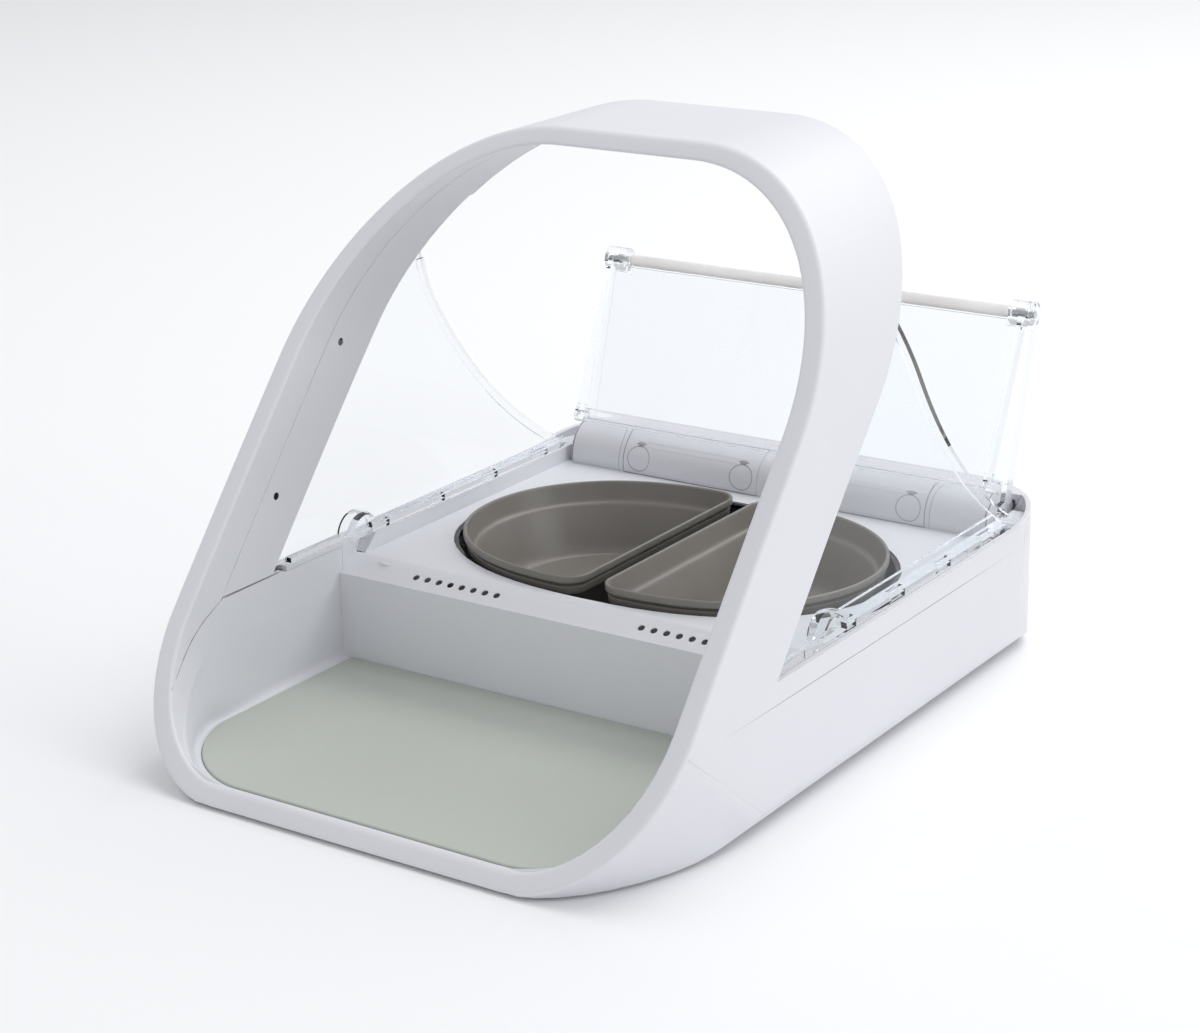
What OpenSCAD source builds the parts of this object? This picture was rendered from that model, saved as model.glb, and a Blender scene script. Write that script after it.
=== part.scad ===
// Microchip pet feeder with an arch, two bowls and a folding clear lid.
// The origin is on the floor, under the middle of the footprint.
// +X is the feeder's right, +Y its rear and +Z up. The lid is drawn open.

/* [Body] */
// Width of the body and of the arch
body_w = 225.6; // [218:0.2:232]
// Depth of the body from its front edge to the rear wall
body_d = 316; // [310:1:324]
// Height of the arch above the floor
arch_h = 213.6; // [205:0.2:222]
// Wall thickness of the white mouldings
wall = 2.2; // [1.8:0.1:2.5]
// Gap between the underside and the floor
ground_gap = 1.2; // [0.8:0.1:2]
// Height of the parting line round the outside
seam_z = 44.8; // [42:0.2:46]
// Height of the outer side walls
side_z = 53; // [52.6:0.1:54]
// Height of the rear wall
rear_z = 57.5; // [55:0.1:58.5]
// Radius of the two rear corners seen from above
rear_r = 38; // [30:1:44]
// Radius of the long lower edges
edge_r = 10; // [6:0.5:14]
// Radius of the lower edge along the rear
rear_edge = 4.5; // [3:0.5:6]

/* [Arch] */
// Radius of the two upper corners of the arch
arch_r = 82; // [70:1:90]
// Slope of the front face, depth per height
lean = 0.794; // [0.74:0.002:0.84]
// Extra lean of the front face towards its top
lean_bow = 0.00021; // [0:0.00001:0.0004]
// Depth of the arch from front to rear
band_d = 51; // [46:1:56]
// How much deeper the arch is at its top
band_flare = 10.7; // [0:0.1:14]
// Width of the front rim at the sides
rim_side = 8; // [7.6:0.1:9]
// Height of the front rim at the top
rim_top = 6.1; // [5.6:0.1:7.5]
// Radius of the lower front corners of the rim
nose_r = 51; // [40:1:56]
// Distance of the liner's front edge behind the front face
liner_back = 18.2; // [14:0.2:22]

/* [Deck] */
// Height of the deck round the bowls
deck_z = 46.5; // [45.5:0.1:47.5]
// Distance of the deck's front wall behind the front edge
deck_y = 127; // [122:1:130]
// Depth of the sloping light strip
strip_d = 10.3; // [8:0.1:12]
// Drop of the light strip
strip_drop = 5.3; // [4:0.1:6]
// Distance from the middle to the inner face of a side rail
rail_x = 100.8; // [100.6:0.1:101.6]
// Height of the side rails
rail_z = 53; // [52.6:0.1:53.6]
// Number of light holes on each side
lights = 8; // [4:1:9]
// Spacing of the light holes
light_pitch = 5.46; // [5:0.02:6]
// Radius of a light hole
light_r = 1.4; // [1:0.1:1.8]
// Distance from the middle to the nearest light hole
light_x = 32.6; // [28:0.2:36]

/* [Bowls and mat] */
// Width of one bowl across its rim
bowl_w = 83; // [76:0.5:84]
// Depth of one bowl from front to rear
bowl_d = 118; // [108:1:119]
// Height of the rim of the bowls
bowl_z = 51.5; // [50:0.1:52]
// Height of the plates that the bowls stand on
plate_z = 22; // [21:0.1:24]
// Gap between the two bowls
bowl_gap = 9; // [8:0.5:12]
// Distance of the middle of the bowls behind the front edge
bowl_y = 203; // [202:0.5:203.5]
// Gap between a bowl and the well in front of it and behind it
well_gap = 4; // [3.4:0.1:4.4]
// Gap between a bowl and the well beside it
well_side = 5; // [3.4:0.1:5.6]
// Thickness of the mat
mat_t = 2; // [1.5:0.1:2.4]
// Height of the top of the mat
mat_z = 6.9; // [6.5:0.1:7.2]

/* [Lid] */
// Distance of the lid's shaft behind the front edge
pivot_y = 288.5; // [287.5:0.1:290]
// Height of the lid's shaft
pivot_z = 50; // [49.5:0.1:51]
// Radius of the round housing over the shaft
barrel_r = 13.2; // [12.8:0.1:13.4]
// Length from the shaft to the fold
leaf1_l = 82; // [78:0.5:84]
// Length from the fold to the front pegs
leaf2_l = 69.5; // [66:0.5:70]
// Thickness of the clear sheets
pane_t = 2; // [1.6:0.1:2.2]
// Angle by which the open lid leans back
lid_lean = 16.65; // [12:0.05:20]
// Angle between the two leaves of the open lid
fold_gap = 7.8; // [7.4:0.1:9]
// Radius of the lid's shaft
shaft_r = 3; // [2.5:0.1:3.5]
// Radius of the fold pins
pin_r = 1.6; // [1.2:0.1:2]
// Radius of the knuckles at the ends of the fold
knob_r = 5; // [4.4:0.1:5.4]

/* [Drive] */
// Tooth size of the gears
gear_m = 0.8; // [0.76:0.02:0.8]
// Teeth of the gear on the lid's shaft
lid_teeth = 24; // [22:1:24]
// Teeth of the gear between
idler_teeth = 20; // [18:1:20]
// Teeth of the gear on the motor
motor_teeth = 17; // [17:1:18]
// Width of the gears
gear_w = 6; // [5:0.5:7]
// Place of the gears to the right of the middle
gear_x = 20; // [16:1:24]
// Radius of the motor
motor_r = 12; // [10:0.5:12.5]

/* [Batteries and buttons] */
// Diameter of a C cell
cell_d = 26; // [25.5:0.1:26.2]
// Length of a C cell
cell_l = 50; // [49:0.2:50.4]
// Radius of a button
button_r = 5.8; // [5:0.1:6.4]
// Travel of a button
button_travel = 1.2; // [0.8:0.1:1.5]
// Spacing of the buttons
button_pitch = 20; // [18:0.5:24]
// Height of the buttons
button_z = 30; // [26:1:32]

/* [Fit] */
// Gap between pieces that lie side by side
gap = 0.3; // [0.2:0.05:0.4]
// Radial clearance of a shaft in its bush
run = 0.05; // [0.02:0.01:0.09]

/* [Hidden] */
$fn = 64;

half_w = body_w / 2;
// The footprint is centred on the origin with the buttons included.
front_y = -(body_d + button_travel) / 2 - 0.5;
rear_y = front_y + body_d;
floor_z = ground_gap;
lean_a = atan(lean + 0.02);
far = 400;
white = [0.91, 0.91, 0.94];
clear_blue = [0.85, 0.9, 0.95, 0.35];

// Curve of the front face: depth y at height z.
function front(z) = front_y + lean * z + lean_bow * z * z;
// Curve of the rear edge of the arch.
function back(z) = front(z) + band_d + band_flare * pow(z / arch_h, 4);
function arc(cx, cy, r, a0, a1, n) =
    [for (i = [0 : n]) [cx + r * cos(a0 + (a1 - a0) * i / n), cy + r * sin(a0 + (a1 - a0) * i / n)]];

// Draws a y-z outline along the whole width, or from x0 to x1.
module across(x0 = -far, x1 = far) {
    translate([x0, 0, 0]) rotate([90, 0, 90]) linear_extrude(x1 - x0) children();
}
// Draws an x-z outline from y0 to y1.
module along(y0, y1) {
    translate([0, y1, 0]) rotate([90, 0, 0]) linear_extrude(y1 - y0) children();
}
module block(x0, x1, y0, y1, z0, z1) {
    translate([x0, y0, z0]) cube([x1 - x0, y1 - y0, z1 - z0]);
}
module both_sides() {
    children();
    mirror([1, 0, 0]) children();
}

// Slab that follows the front face, from depth a to depth b behind it.
module front_slab(a, b, z0, z1) {
    n = 16;
    zs = [for (i = [0 : n]) z0 + (z1 - z0) * i / n];
    across() polygon(concat([for (z = zs) [front(z) + a, z]],
        [for (i = [n : -1 : 0]) [front(zs[i]) + b, zs[i]]]));
}
// Slab from depth a behind the front face to a distance b before the arch's rear edge.
module band_slab(a, b, z0, z1) {
    n = 16;
    zs = [for (i = [0 : n]) z0 + (z1 - z0) * i / n];
    across() polygon(concat([for (z = zs) [front(z) + a, z]],
        [for (i = [n : -1 : 0]) [back(zs[i]) - b, zs[i]]]));
}

// Outline of the arch seen from the front, drawn in by side and top.
module arch_outline(side, top) {
    r = arch_r - (side + top) / 2;
    cx = half_w - side - r;
    cz = arch_h - top - r;
    both_sides() translate([cx, cz]) circle(r, $fn = 128);
    translate([-cx, cz]) square([2 * cx, r]);
    translate([-half_w + side, -20]) square([2 * (half_w - side), cz + 20]);
}
module arch_ring(side0, top0, side1, top1, z0) {
    difference() {
        arch_outline(side0, top0);
        arch_outline(side1, top1);
        translate([-far, -far]) square([2 * far, far + z0]);
    }
}
// Upright section of the body, drawn in by t.
module body_section(t) {
    r = edge_r - t;
    both_sides() translate([half_w - edge_r, floor_z + edge_r]) circle(r);
    translate([-half_w + edge_r, floor_z + t]) square([body_w - 2 * edge_r, side_z]);
    translate([-half_w + t, floor_z + edge_r]) square([body_w - 2 * t, side_z]);
}
// Plan of the body, drawn in by t.
module body_plan(t) {
    r = rear_r - t;
    both_sides() translate([half_w - rear_r, rear_y - rear_r]) circle(r, $fn = 96);
    translate([-half_w + rear_r, front_y - 1]) square([body_w - 2 * rear_r, body_d + 1 - t]);
    translate([-half_w + t, front_y - 1]) square([body_w - 2 * t, body_d + 1 - rear_r]);
}
// Prism square to the front face with rounded lower corners, which shapes the nose.
module nose(side, r, z0) {
    low = arc(half_w - side - r, z0 + r, r, -90, 0, 12);
    pts = concat([for (p = low) p], [[half_w - side, 2 * arch_h], [-half_w + side, 2 * arch_h]],
        [for (i = [12 : -1 : 0]) [-low[i][0], low[i][1]]]);
    translate([0, front_y, 0]) rotate([90 - lean_a, 0, 0]) translate([0, 0, -far])
        linear_extrude(far + 60) polygon([for (p = pts) [p[0], p[1] / cos(lean_a)]]);
}
// Section of the rear edge, out to a distance a from its origin, drawn in by t.
module rear_section(a, t) {
    translate([0, floor_z + rear_edge]) square([a - t, side_z]);
    translate([0, floor_z + t]) square([a - rear_edge, side_z]);
    translate([a - rear_edge, floor_z + rear_edge]) circle(rear_edge - t);
}
// Plan of the body with its rounded rear lower edge, drawn in by t.
module rear_form(t) {
    block(-half_w + t, half_w - t, front_y - 1, rear_y - rear_r, floor_z + t, side_z);
    translate([0, rear_y - rear_r, 0]) across(-half_w + rear_r, half_w - rear_r) rear_section(rear_r, t);
    both_sides() translate([half_w - rear_r, rear_y - rear_r, 0]) rotate_extrude($fn = 96) rear_section(rear_r, t);
}
// Outer form of the lower body, drawn in by t.
module body_form(t) {
    intersection() {
        along(front_y - 1, rear_y + 1) body_section(t);
        rear_form(t);
        front_slab(t * 1.3, far, -5, side_z + 5);
        nose(t, nose_r - t, floor_z + t);
    }
}
// Space over the mat, grown by t.
module entry_form(t) {
    r = 8 + t;
    x = half_w - rim_side + t;
    z = mat_z + 0.4 - t;
    intersection() {
        along(front_y - 40, front_y + deck_y + t) union() {
            both_sides() translate([x - r, z + r]) circle(r);
            translate([-x + r, z]) square([2 * (x - r), 100]);
            translate([-x, z + r]) square([2 * x, 100]);
        }
        nose(rim_side - t, nose_r - rim_side + 1.5 + t, z);
    }
}
// Plan of the mat, drawn in by t.
module mat_plan(t) {
    x = half_w - rim_side - t;
    r = nose_r - rim_side + 5;
    y0 = front_y + 7.6 + t;
    polygon(concat(arc(x - r, y0 + r, r, -90, 0, 10), [[x, front_y + deck_y - t],
        [-x, front_y + deck_y - t]], arc(-x + r, y0 + r, r, 180, 270, 10)));
}

// Solid between stacked rings of points, closed at both ends.
module loft(rings) {
    n = len(rings[0]);
    m = len(rings);
    pts = [for (ring = rings) each ring];
    sides = [for (j = [0 : m - 2], i = [0 : n - 1])
        let (a = j * n + i, b = j * n + (i + 1) % n)
        each [[a, a + n, b], [b, a + n, b + n]]];
    polyhedron(concat(sides, []) == [] ? [] : pts,
        concat(sides, [[for (i = [0 : n - 1]) i]], [[for (i = [n - 1 : -1 : 0]) (m - 1) * n + i]]));
}
// Half of an oval with a flat side, for the right bowl, grown by g at height z.
function bowl_ring(g, z) =
    let (n = 40, a = bowl_w + g, b = bowl_d / 2 + g, r = max(9 + g, 2), x0 = bowl_gap / 2 - g, y0 = front_y + bowl_y)
    concat([for (i = [0 : n]) let (t = -90 + 180 * i / n, c = pow(max(cos(t), 0), 0.86))
            [x0 + r + (a - r + g) * c, y0 + (b) * sin(t), z]],
        [for (i = [1 : 5]) [x0 + r - r * sin(18 * i), y0 + b - r + r * cos(18 * i), z]],
        [for (i = [0 : 4]) [x0 + r - r * cos(18 * i), y0 - b + r - r * sin(18 * i), z]]);
// Oval of the well round both bowls, grown by g at height z.
function well_ring(g, z) =
    let (n = 64, a = bowl_gap / 2 + bowl_w + well_side + g, b = bowl_d / 2 + well_gap + g)
    [for (i = [0 : n - 1]) let (t = 360 * i / n, c = cos(t), s = sin(t))
        [a * sign(c) * pow(abs(c), 0.86), front_y + bowl_y + b * sign(s) * pow(abs(s), 0.93), z]];
// Involute gear outline with its first tooth on the x axis.
function inv_pt(rb, t) = [rb * (cos(t) + t * PI / 180 * sin(t)), rb * (sin(t) - t * PI / 180 * cos(t))];
function turn(p, a) = [p[0] * cos(a) - p[1] * sin(a), p[0] * sin(a) + p[1] * cos(a)];
function gear_points(teeth) =
    let (r = gear_m * teeth / 2, rb = r * cos(20), ro = r + 0.94 * gear_m, rr = r - 1.25 * gear_m,
        t_pitch = acos(rb / r), inv_a = tan(20) * 180 / PI - 20, t_out = sqrt(pow(ro / rb, 2) - 1) * 180 / PI,
        slack = 0.06 / r * 180 / PI, half = 90 / teeth + inv_a - slack, n = 4)
    [for (k = [0 : teeth - 1]) let (c = k * 360 / teeth)
        each concat([turn([rr, 0], c - half - 0.6)],
            [for (i = [0 : n]) turn(inv_pt(rb, t_out * i / n), c - half)],
            [for (i = [n : -1 : 0]) let (p = inv_pt(rb, t_out * i / n)) turn([p[0], -p[1]], c + half)],
            [turn([rr, 0], c + half + 0.6)])];
// Angle that sets a gear in mesh with the one before it, whose tooth lies at angle a.
function mesh_angle(a, teeth0, teeth1, dir) = dir + 180 - (a - dir) * teeth0 / teeth1 + 180 / teeth1;
module gear(teeth, x0, y, z, a, bore) {
    translate([x0, y, z]) rotate([90, 0, 90]) rotate(a) linear_extrude(gear_w) difference() {
        polygon(gear_points(teeth));
        circle(bore);
    }
}
module rod_x(x0, x1, y, z, r) {
    translate([x0, y, z]) rotate([0, 90, 0]) cylinder(h = x1 - x0, r = r);
}

// Values that several pieces share.
foot_r = 7;
foot_xy = [[78, front_y + 44], [88, front_y + 222]];
seam_line = [[0, 30], [28, 31.4], [37, 37.4], [42.3, 41.5], [50, 46.7], [61, 51.9], [94, 52.2], [95, 51.2],
    [deck_y + 40, 51.2]];
py = front_y + pivot_y;
light_y = front_y + deck_y + strip_d / 2;
light_z = deck_z - strip_drop / 2;
strip_a = atan(strip_drop / strip_d);
inner_x = half_w - rim_side;
skin_x = inner_x + wall;
shield_x = skin_x + 1.2;
barrel_x = rail_x - 3;
arm_x = barrel_x + 0.4;
arm_t = rail_x - arm_x - 0.6;
bowl_top = bowl_z;
well_floor = plate_z - 3.6;
shield_cy = front_y + 387;
shield_cz = 248;
shield_cr = 220.6;
cap_a = 15;
cover_x0 = 5.5;
cover_x1 = 71;
cap_r = 5.3;
cap_xs = [13.2, 63.7];
boss_r = 4;
screw_r = 1.5;
boss_xy = [[88, front_y + 138], [94, front_y + 236], [30.5, front_y + 302]];
boss_top = 30;
cell_x = 38.5;
cell_y = [rear_y - 7 - cell_d / 2 - cell_d - 1, rear_y - 7 - cell_d / 2];
cell_z = floor_z + wall - 0.1 + cell_d / 2;
idler_z = pivot_z - gear_m * (lid_teeth + idler_teeth) / 2;
drive_d = gear_m * (idler_teeth + motor_teeth) / 2;
drive_a = 215;
motor_y = py + drive_d * cos(drive_a);
motor_z = idler_z + drive_d * sin(drive_a);
idler_turn = mesh_angle(0, lid_teeth, idler_teeth, -90);
motor_turn = mesh_angle(idler_turn, idler_teeth, motor_teeth, drive_a);
beam_z = [82, 132];
beam_back = 27;
door_x0 = cell_x - 2;
door_x1 = cell_x + cell_l + 2;
door_y0 = cell_y[0] - cell_d / 2 - 0.4;
door_y1 = cell_y[1] + cell_d / 2 + 0.4;

// Lower shell with the floor under the mat and the battery bays.
module base_tub() {
    color(white) difference() {
        union() {
            difference() {
                body_form(0);
                difference() {
                    body_form(wall);
                    entry_form(wall);
                    block(-far, far, front_y, front_y + deck_y + wall, 0, mat_z - mat_t + 1);
                }
                entry_form(0);
                // Open top: at the parting line outside, and higher along the entry space.
                difference() {
                    block(-far, far, -far, far, seam_z, far);
                    entry_form(wall);
                }
                intersection() {
                    entry_form(wall + 0.05);
                    above_seam();
                }
                // Rear end of the entry space, where the deck's front wall stands.
                block(-inner_x, inner_x, front_y + deck_y - 0.01, front_y + deck_y + wall + 5,
                    floor_z + wall, 60);
            }
            for (p = boss_xy, s = [-1, 1])
                translate([s * p[0], p[1], floor_z + 0.5]) cylinder(h = boss_top - floor_z - 0.5, r = boss_r);
            // Walls of the two battery bays.
            both_sides() difference() {
                block(door_x0 - 1.2, door_x1 + 1.2, door_y0 - 1.2, door_y1 + 1.2, floor_z + 1,
                    cell_z + cell_d / 2 + 2.1);
                block(door_x0, door_x1, door_y0, door_y1, 0, cell_z + cell_d / 2 + 0.8);
            }
        }
        translate([0, 0, mat_z - mat_t]) linear_extrude(60) mat_plan(0.1);
        both_sides() block(door_x0, door_x1, door_y0, door_y1, 0, floor_z + wall + 5);
        for (p = boss_xy, s = [-1, 1]) translate([s * p[0], p[1], 0]) {
            cylinder(h = 60, r = screw_r + 0.1);
            cylinder(h = floor_z + 2.6, r = 3.2);
        }
        for (p = foot_xy, s = [-1, 1])
            translate([s * p[0], p[1], 0]) cylinder(h = floor_z + 1, r = foot_r + 0.1);
        for (i = [-1 : 1])
            translate([i * button_pitch, rear_y + 1, button_z]) rotate([90, 0, 0])
                cylinder(h = 8, r = button_r + 0.2);
    }
}
// Everything above the parting line inside the entry space.
module above_seam() {
    across() polygon(concat([for (p = seam_line) [front_y + p[0], p[1]]],
        [[front_y + deck_y + 40, 100], [front_y - 20, 100], [front_y - 20, 30]]));
}
// Arch shell with the front rim, and the side walls above the parting line.
module upper_housing() {
    color(white) {
        intersection() {
            along(-far, far) arch_ring(0, 0, wall, wall * 0.8, seam_z);
            band_slab(0, 0, seam_z - 5, arch_h + 5);
        }
        intersection() {
            along(-far, far) arch_ring(0, 0, rim_side, rim_top, seam_z);
            front_slab(0, wall * 1.3, seam_z - 5, arch_h + 5);
        }
        intersection() {
            along(-far, far) arch_ring(rim_side - wall, rim_top - wall * 0.8, rim_side, rim_top, 52);
            front_slab(0, liner_back, seam_z - 5, arch_h + 5);
        }
        // Inner skin under the parting line, down to the tub.
        intersection() {
            difference() {
                entry_form(wall);
                entry_form(0);
            }
            above_seam();
            front_slab(0, liner_back, 20, 52);
        }
        // Side and rear walls, which rise towards the rear.
        intersection() {
            translate([0, 0, seam_z]) linear_extrude(rear_z) difference() {
                body_plan(0);
                body_plan(wall);
            }
            front_slab(0, far, 0, rear_z + 5);
            across() polygon([[-far, 0], [-far, side_z], [front_y + 240, side_z], [front_y + 273, side_z + 0.6],
                [front_y + 299, rear_z], [far, rear_z], [far, 0]]);
        }
        // Ledge behind the barrel.
        translate([0, 0, rear_z - wall]) linear_extrude(wall) intersection() {
            body_plan(wall / 2);
            translate([-rail_x + gap, py + barrel_r + gap]) square([2 * (rail_x - gap), far]);
        }
        // Corner behind each rail, which rises from the rail to the rear wall.
        both_sides() intersection() {
            across(rail_x - wall, half_w) polygon([[py + 7, rail_z + 0.15], [py + barrel_r + 2, rear_z - 0.6],
                [py + barrel_r + 5, rear_z], [rear_y, rear_z], [rear_y, rail_z + 0.15]]);
            linear_extrude(far) body_plan(wall / 2);
            union() {
                block(rail_x + gap, far, 0, far, 0, far);
                block(0, far, py + barrel_r + gap, far, 0, far);
            }
        }
    }
}

// Inner skin of the arch behind the front band, with its rear lip.
module arch_liner() {
    color(white) difference() {
        union() {
            intersection() {
                along(-far, far) arch_ring(rim_side - wall, rim_top - wall * 0.8, rim_side, rim_top, 52.3);
                band_slab(liner_back + 0.15, 4.5, 40, arch_h + 5);
            }
            intersection() {
                along(-far, far) arch_ring(rim_side - 3, rim_top - 2.4, rim_side, rim_top, 53.4);
                intersection() {
                    band_slab(liner_back + 12, 4.5, 40, arch_h + 5);
                    band_slab(band_d - 7, 4.5, 40, arch_h + 5);
                }
            }
            intersection() {
                along(-far, far) arch_ring(wall + 0.15, wall * 0.8 + 0.15, rim_side, rim_top, 178);
                intersection() {
                    band_slab(liner_back + 12, 2.5, 40, arch_h + 5);
                    translate([0, band_d + band_flare - 8, 0]) front_slab(-3, 20, 150, arch_h + 5);
                }
            }
        }
        for (z = beam_z) rod_x(-far, far, front(z) + beam_back, z, 1.5);
    }
}

// Deck with its front wall, light strip and side rails.
module deck_panel() {
    y0 = front_y + deck_y;
    y1 = y0 + strip_d;
    t = 2;
    color(white) difference() {
        union() {
            across(-inner_x + 0.1, inner_x - 0.1) polygon([[y0, mat_z - mat_t + 0.1], [y0, deck_z - strip_drop],
                [y1, deck_z], [y1 + 1, deck_z], [y1 + 1, deck_z - t], [y1 + 0.4, deck_z - t],
                [y0 + wall, deck_z - strip_drop - 1.4], [y0 + wall, mat_z - mat_t + 0.1]]);
            translate([0, 0, deck_z - t]) linear_extrude(t) difference() {
                intersection() {
                    body_plan(wall + gap);
                    translate([-rail_x - 1, y1]) square([2 * rail_x + 2, far]);
                }
                polygon([for (p = well_ring(-0.4, 0)) [p[0], p[1]]]);
            }
            both_sides() rail();
            for (p = boss_xy, s = [-1, 1])
                translate([s * p[0], p[1], boss_top + 0.1]) cylinder(h = deck_z - boss_top - 1, r = boss_r);
        }
        translate([0, 0, -1]) linear_extrude(60) polygon([for (p = well_ring(-0.4, 0)) [p[0], p[1]]]);
        for (p = boss_xy, s = [-1, 1]) translate([s * p[0], p[1], 0]) cylinder(h = boss_top + 9, r = screw_r + 0.1);
        for (s = [-1, 1], i = [0 : lights - 1]) translate([s * (light_x + i * light_pitch), light_y, light_z])
            rotate([strip_a, 0, 0]) cylinder(h = 12, r = light_r, center = true);
        // Slots for the arms of the lid, and an opening for the gears.
        both_sides() block(arm_x - 0.3, rail_x, py - 11, py + 11, 30, 90);
        block(gear_x - 2, gear_x + gear_w + 2, py - 12, py + 12, 30, 60);
    }
}
// One side rail: an upright inner wall under a top plate, with a sloping front end.
module rail() {
    y0 = front_y + deck_y;
    t = 1.8;
    outer = half_w - wall - gap;
    intersection() {
        union() {
            along(y0 + 8, rear_y) polygon([[rail_x, deck_z - 2], [rail_x, rail_z], [outer, rail_z],
                [outer, rail_z - t], [rail_x + t, rail_z - t], [rail_x + t, deck_z - 2]]);
            along(front_y + 97, y0 + 24) polygon([[inner_x + 0.1, 51.3], [inner_x + 0.1, rail_z], [outer, rail_z],
                [outer, rail_z - t], [inner_x + t, rail_z - t], [inner_x + t, 51.3]]);
            // Sloping front end between the wall and the entry space's side.
            block(rail_x, inner_x + t, y0 + wall + 0.2, y0 + 21, deck_z - 6, rail_z);
        }
        linear_extrude(far) body_plan(wall + gap);
        union() {
            across() polygon([[y0 - 1, 30], [y0 - 1, deck_z - strip_drop], [y0, deck_z - strip_drop],
                [y0 + strip_d, deck_z], [y0 + strip_d + 1.2, deck_z], [y0 + strip_d + 8.4, rail_z + 0.1],
                [rear_y, rail_z + 0.1], [rear_y, 30]]);
            both_sides() block(inner_x, far, -far, far, 30, far);
        }
    }
}

// Dark well under the bowls, with an opening for each weighing plate.
module bowl_well() {
    color([0.08, 0.08, 0.09]) difference() {
        union() {
            loft([well_ring(-11.5, well_floor), well_ring(-9.8, well_floor + 6), well_ring(-8.3, well_floor + 13.6),
                well_ring(-0.7, deck_z - 2.2), well_ring(-0.7, deck_z - 0.6)]);
            translate([0, 0, deck_z - 4]) linear_extrude(1.8)
                polygon([for (p = well_ring(1.4, 0)) [p[0], p[1]]]);
        }
        loft([well_ring(-13, well_floor + 1.6), well_ring(-11.3, well_floor + 6.4), well_ring(-9.8, well_floor + 13.6),
            well_ring(-2.2, deck_z - 2), well_ring(-2.2, deck_z + 1)]);
        for (s = [-1, 1]) translate([s * cell_post_x, front_y + bowl_y, 0]) cylinder(h = 40, r = 14);
    }
}
cell_post_x = bowl_gap / 2 + bowl_w * 0.42;

// Fixed half-round housing over the lid's shaft, open where the two covers sit.
module barrel_shell() {
    color(white) difference() {
        union() {
            difference() {
                rod_x(-barrel_x, barrel_x, py, pivot_z, barrel_r);
                rod_x(-barrel_x + wall, barrel_x - wall, py, pivot_z, barrel_r - 1.8);
                both_sides() block(cover_x0 - gap / 2, cover_x1 + gap / 2, py - far, py + 2, deck_z - 1, far);
            }
            // Ribs that carry the covers.
            both_sides() for (x = [cover_x0 - 2, cover_x0 + 12, cover_x1 - 1]) difference() {
                union() {
                    rod_x(x, x + 2, py, pivot_z, barrel_r - 1.9);
                    intersection() {
                        rod_x(x, x + 2, py, pivot_z, barrel_r - 1);
                        block(0, far, py + 2.5, far, -far, far);
                    }
                }
                rod_x(x - 1, x + 3, py, pivot_z, lid_teeth * gear_m / 2 + 1.1);
            }
        }
        block(-far, far, -far, far, -far, deck_z);
        rod_x(-far, far, py, pivot_z, shaft_r + 2);
    }
}
// Front cover of one half of the barrel, with two capped screw holes.
module barrel_cover() {
    difference() {
        rod_x(cover_x0, cover_x1, py, pivot_z, barrel_r);
        rod_x(-far, far, py, pivot_z, barrel_r - 1.8);
        block(-far, far, -far, far, -far, deck_z + 0.1);
        block(-far, far, py + 2 - gap / 2, far, -far, far);
        for (x = cap_xs) cap_axis(x) cylinder(h = 20, r = cap_r + 0.15);
        for (x = cap_xs) cap_axis(x) translate([0, cap_r + 0.4, 0]) cylinder(h = 20, r = 1.2);
    }
}
module barrel_cover_left() {
    color(white) mirror([1, 0, 0]) barrel_cover();
}
module barrel_cover_right() {
    color(white) barrel_cover();
}
// Places a child on the axis of a screw cap at x, pointing out of the barrel.
module cap_axis(x) {
    translate([x, py, pivot_z]) rotate([90 - cap_a, 0, 0]) children();
}
module cover_screw_caps() {
    color(white) both_sides() intersection() {
        difference() {
            rod_x(cover_x0, cover_x1, py, pivot_z, barrel_r - 0.1);
            rod_x(-far, far, py, pivot_z, barrel_r - 1.8);
        }
        union() for (x = cap_xs) cap_axis(x) cylinder(h = 20, r = cap_r);
    }
}

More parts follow.
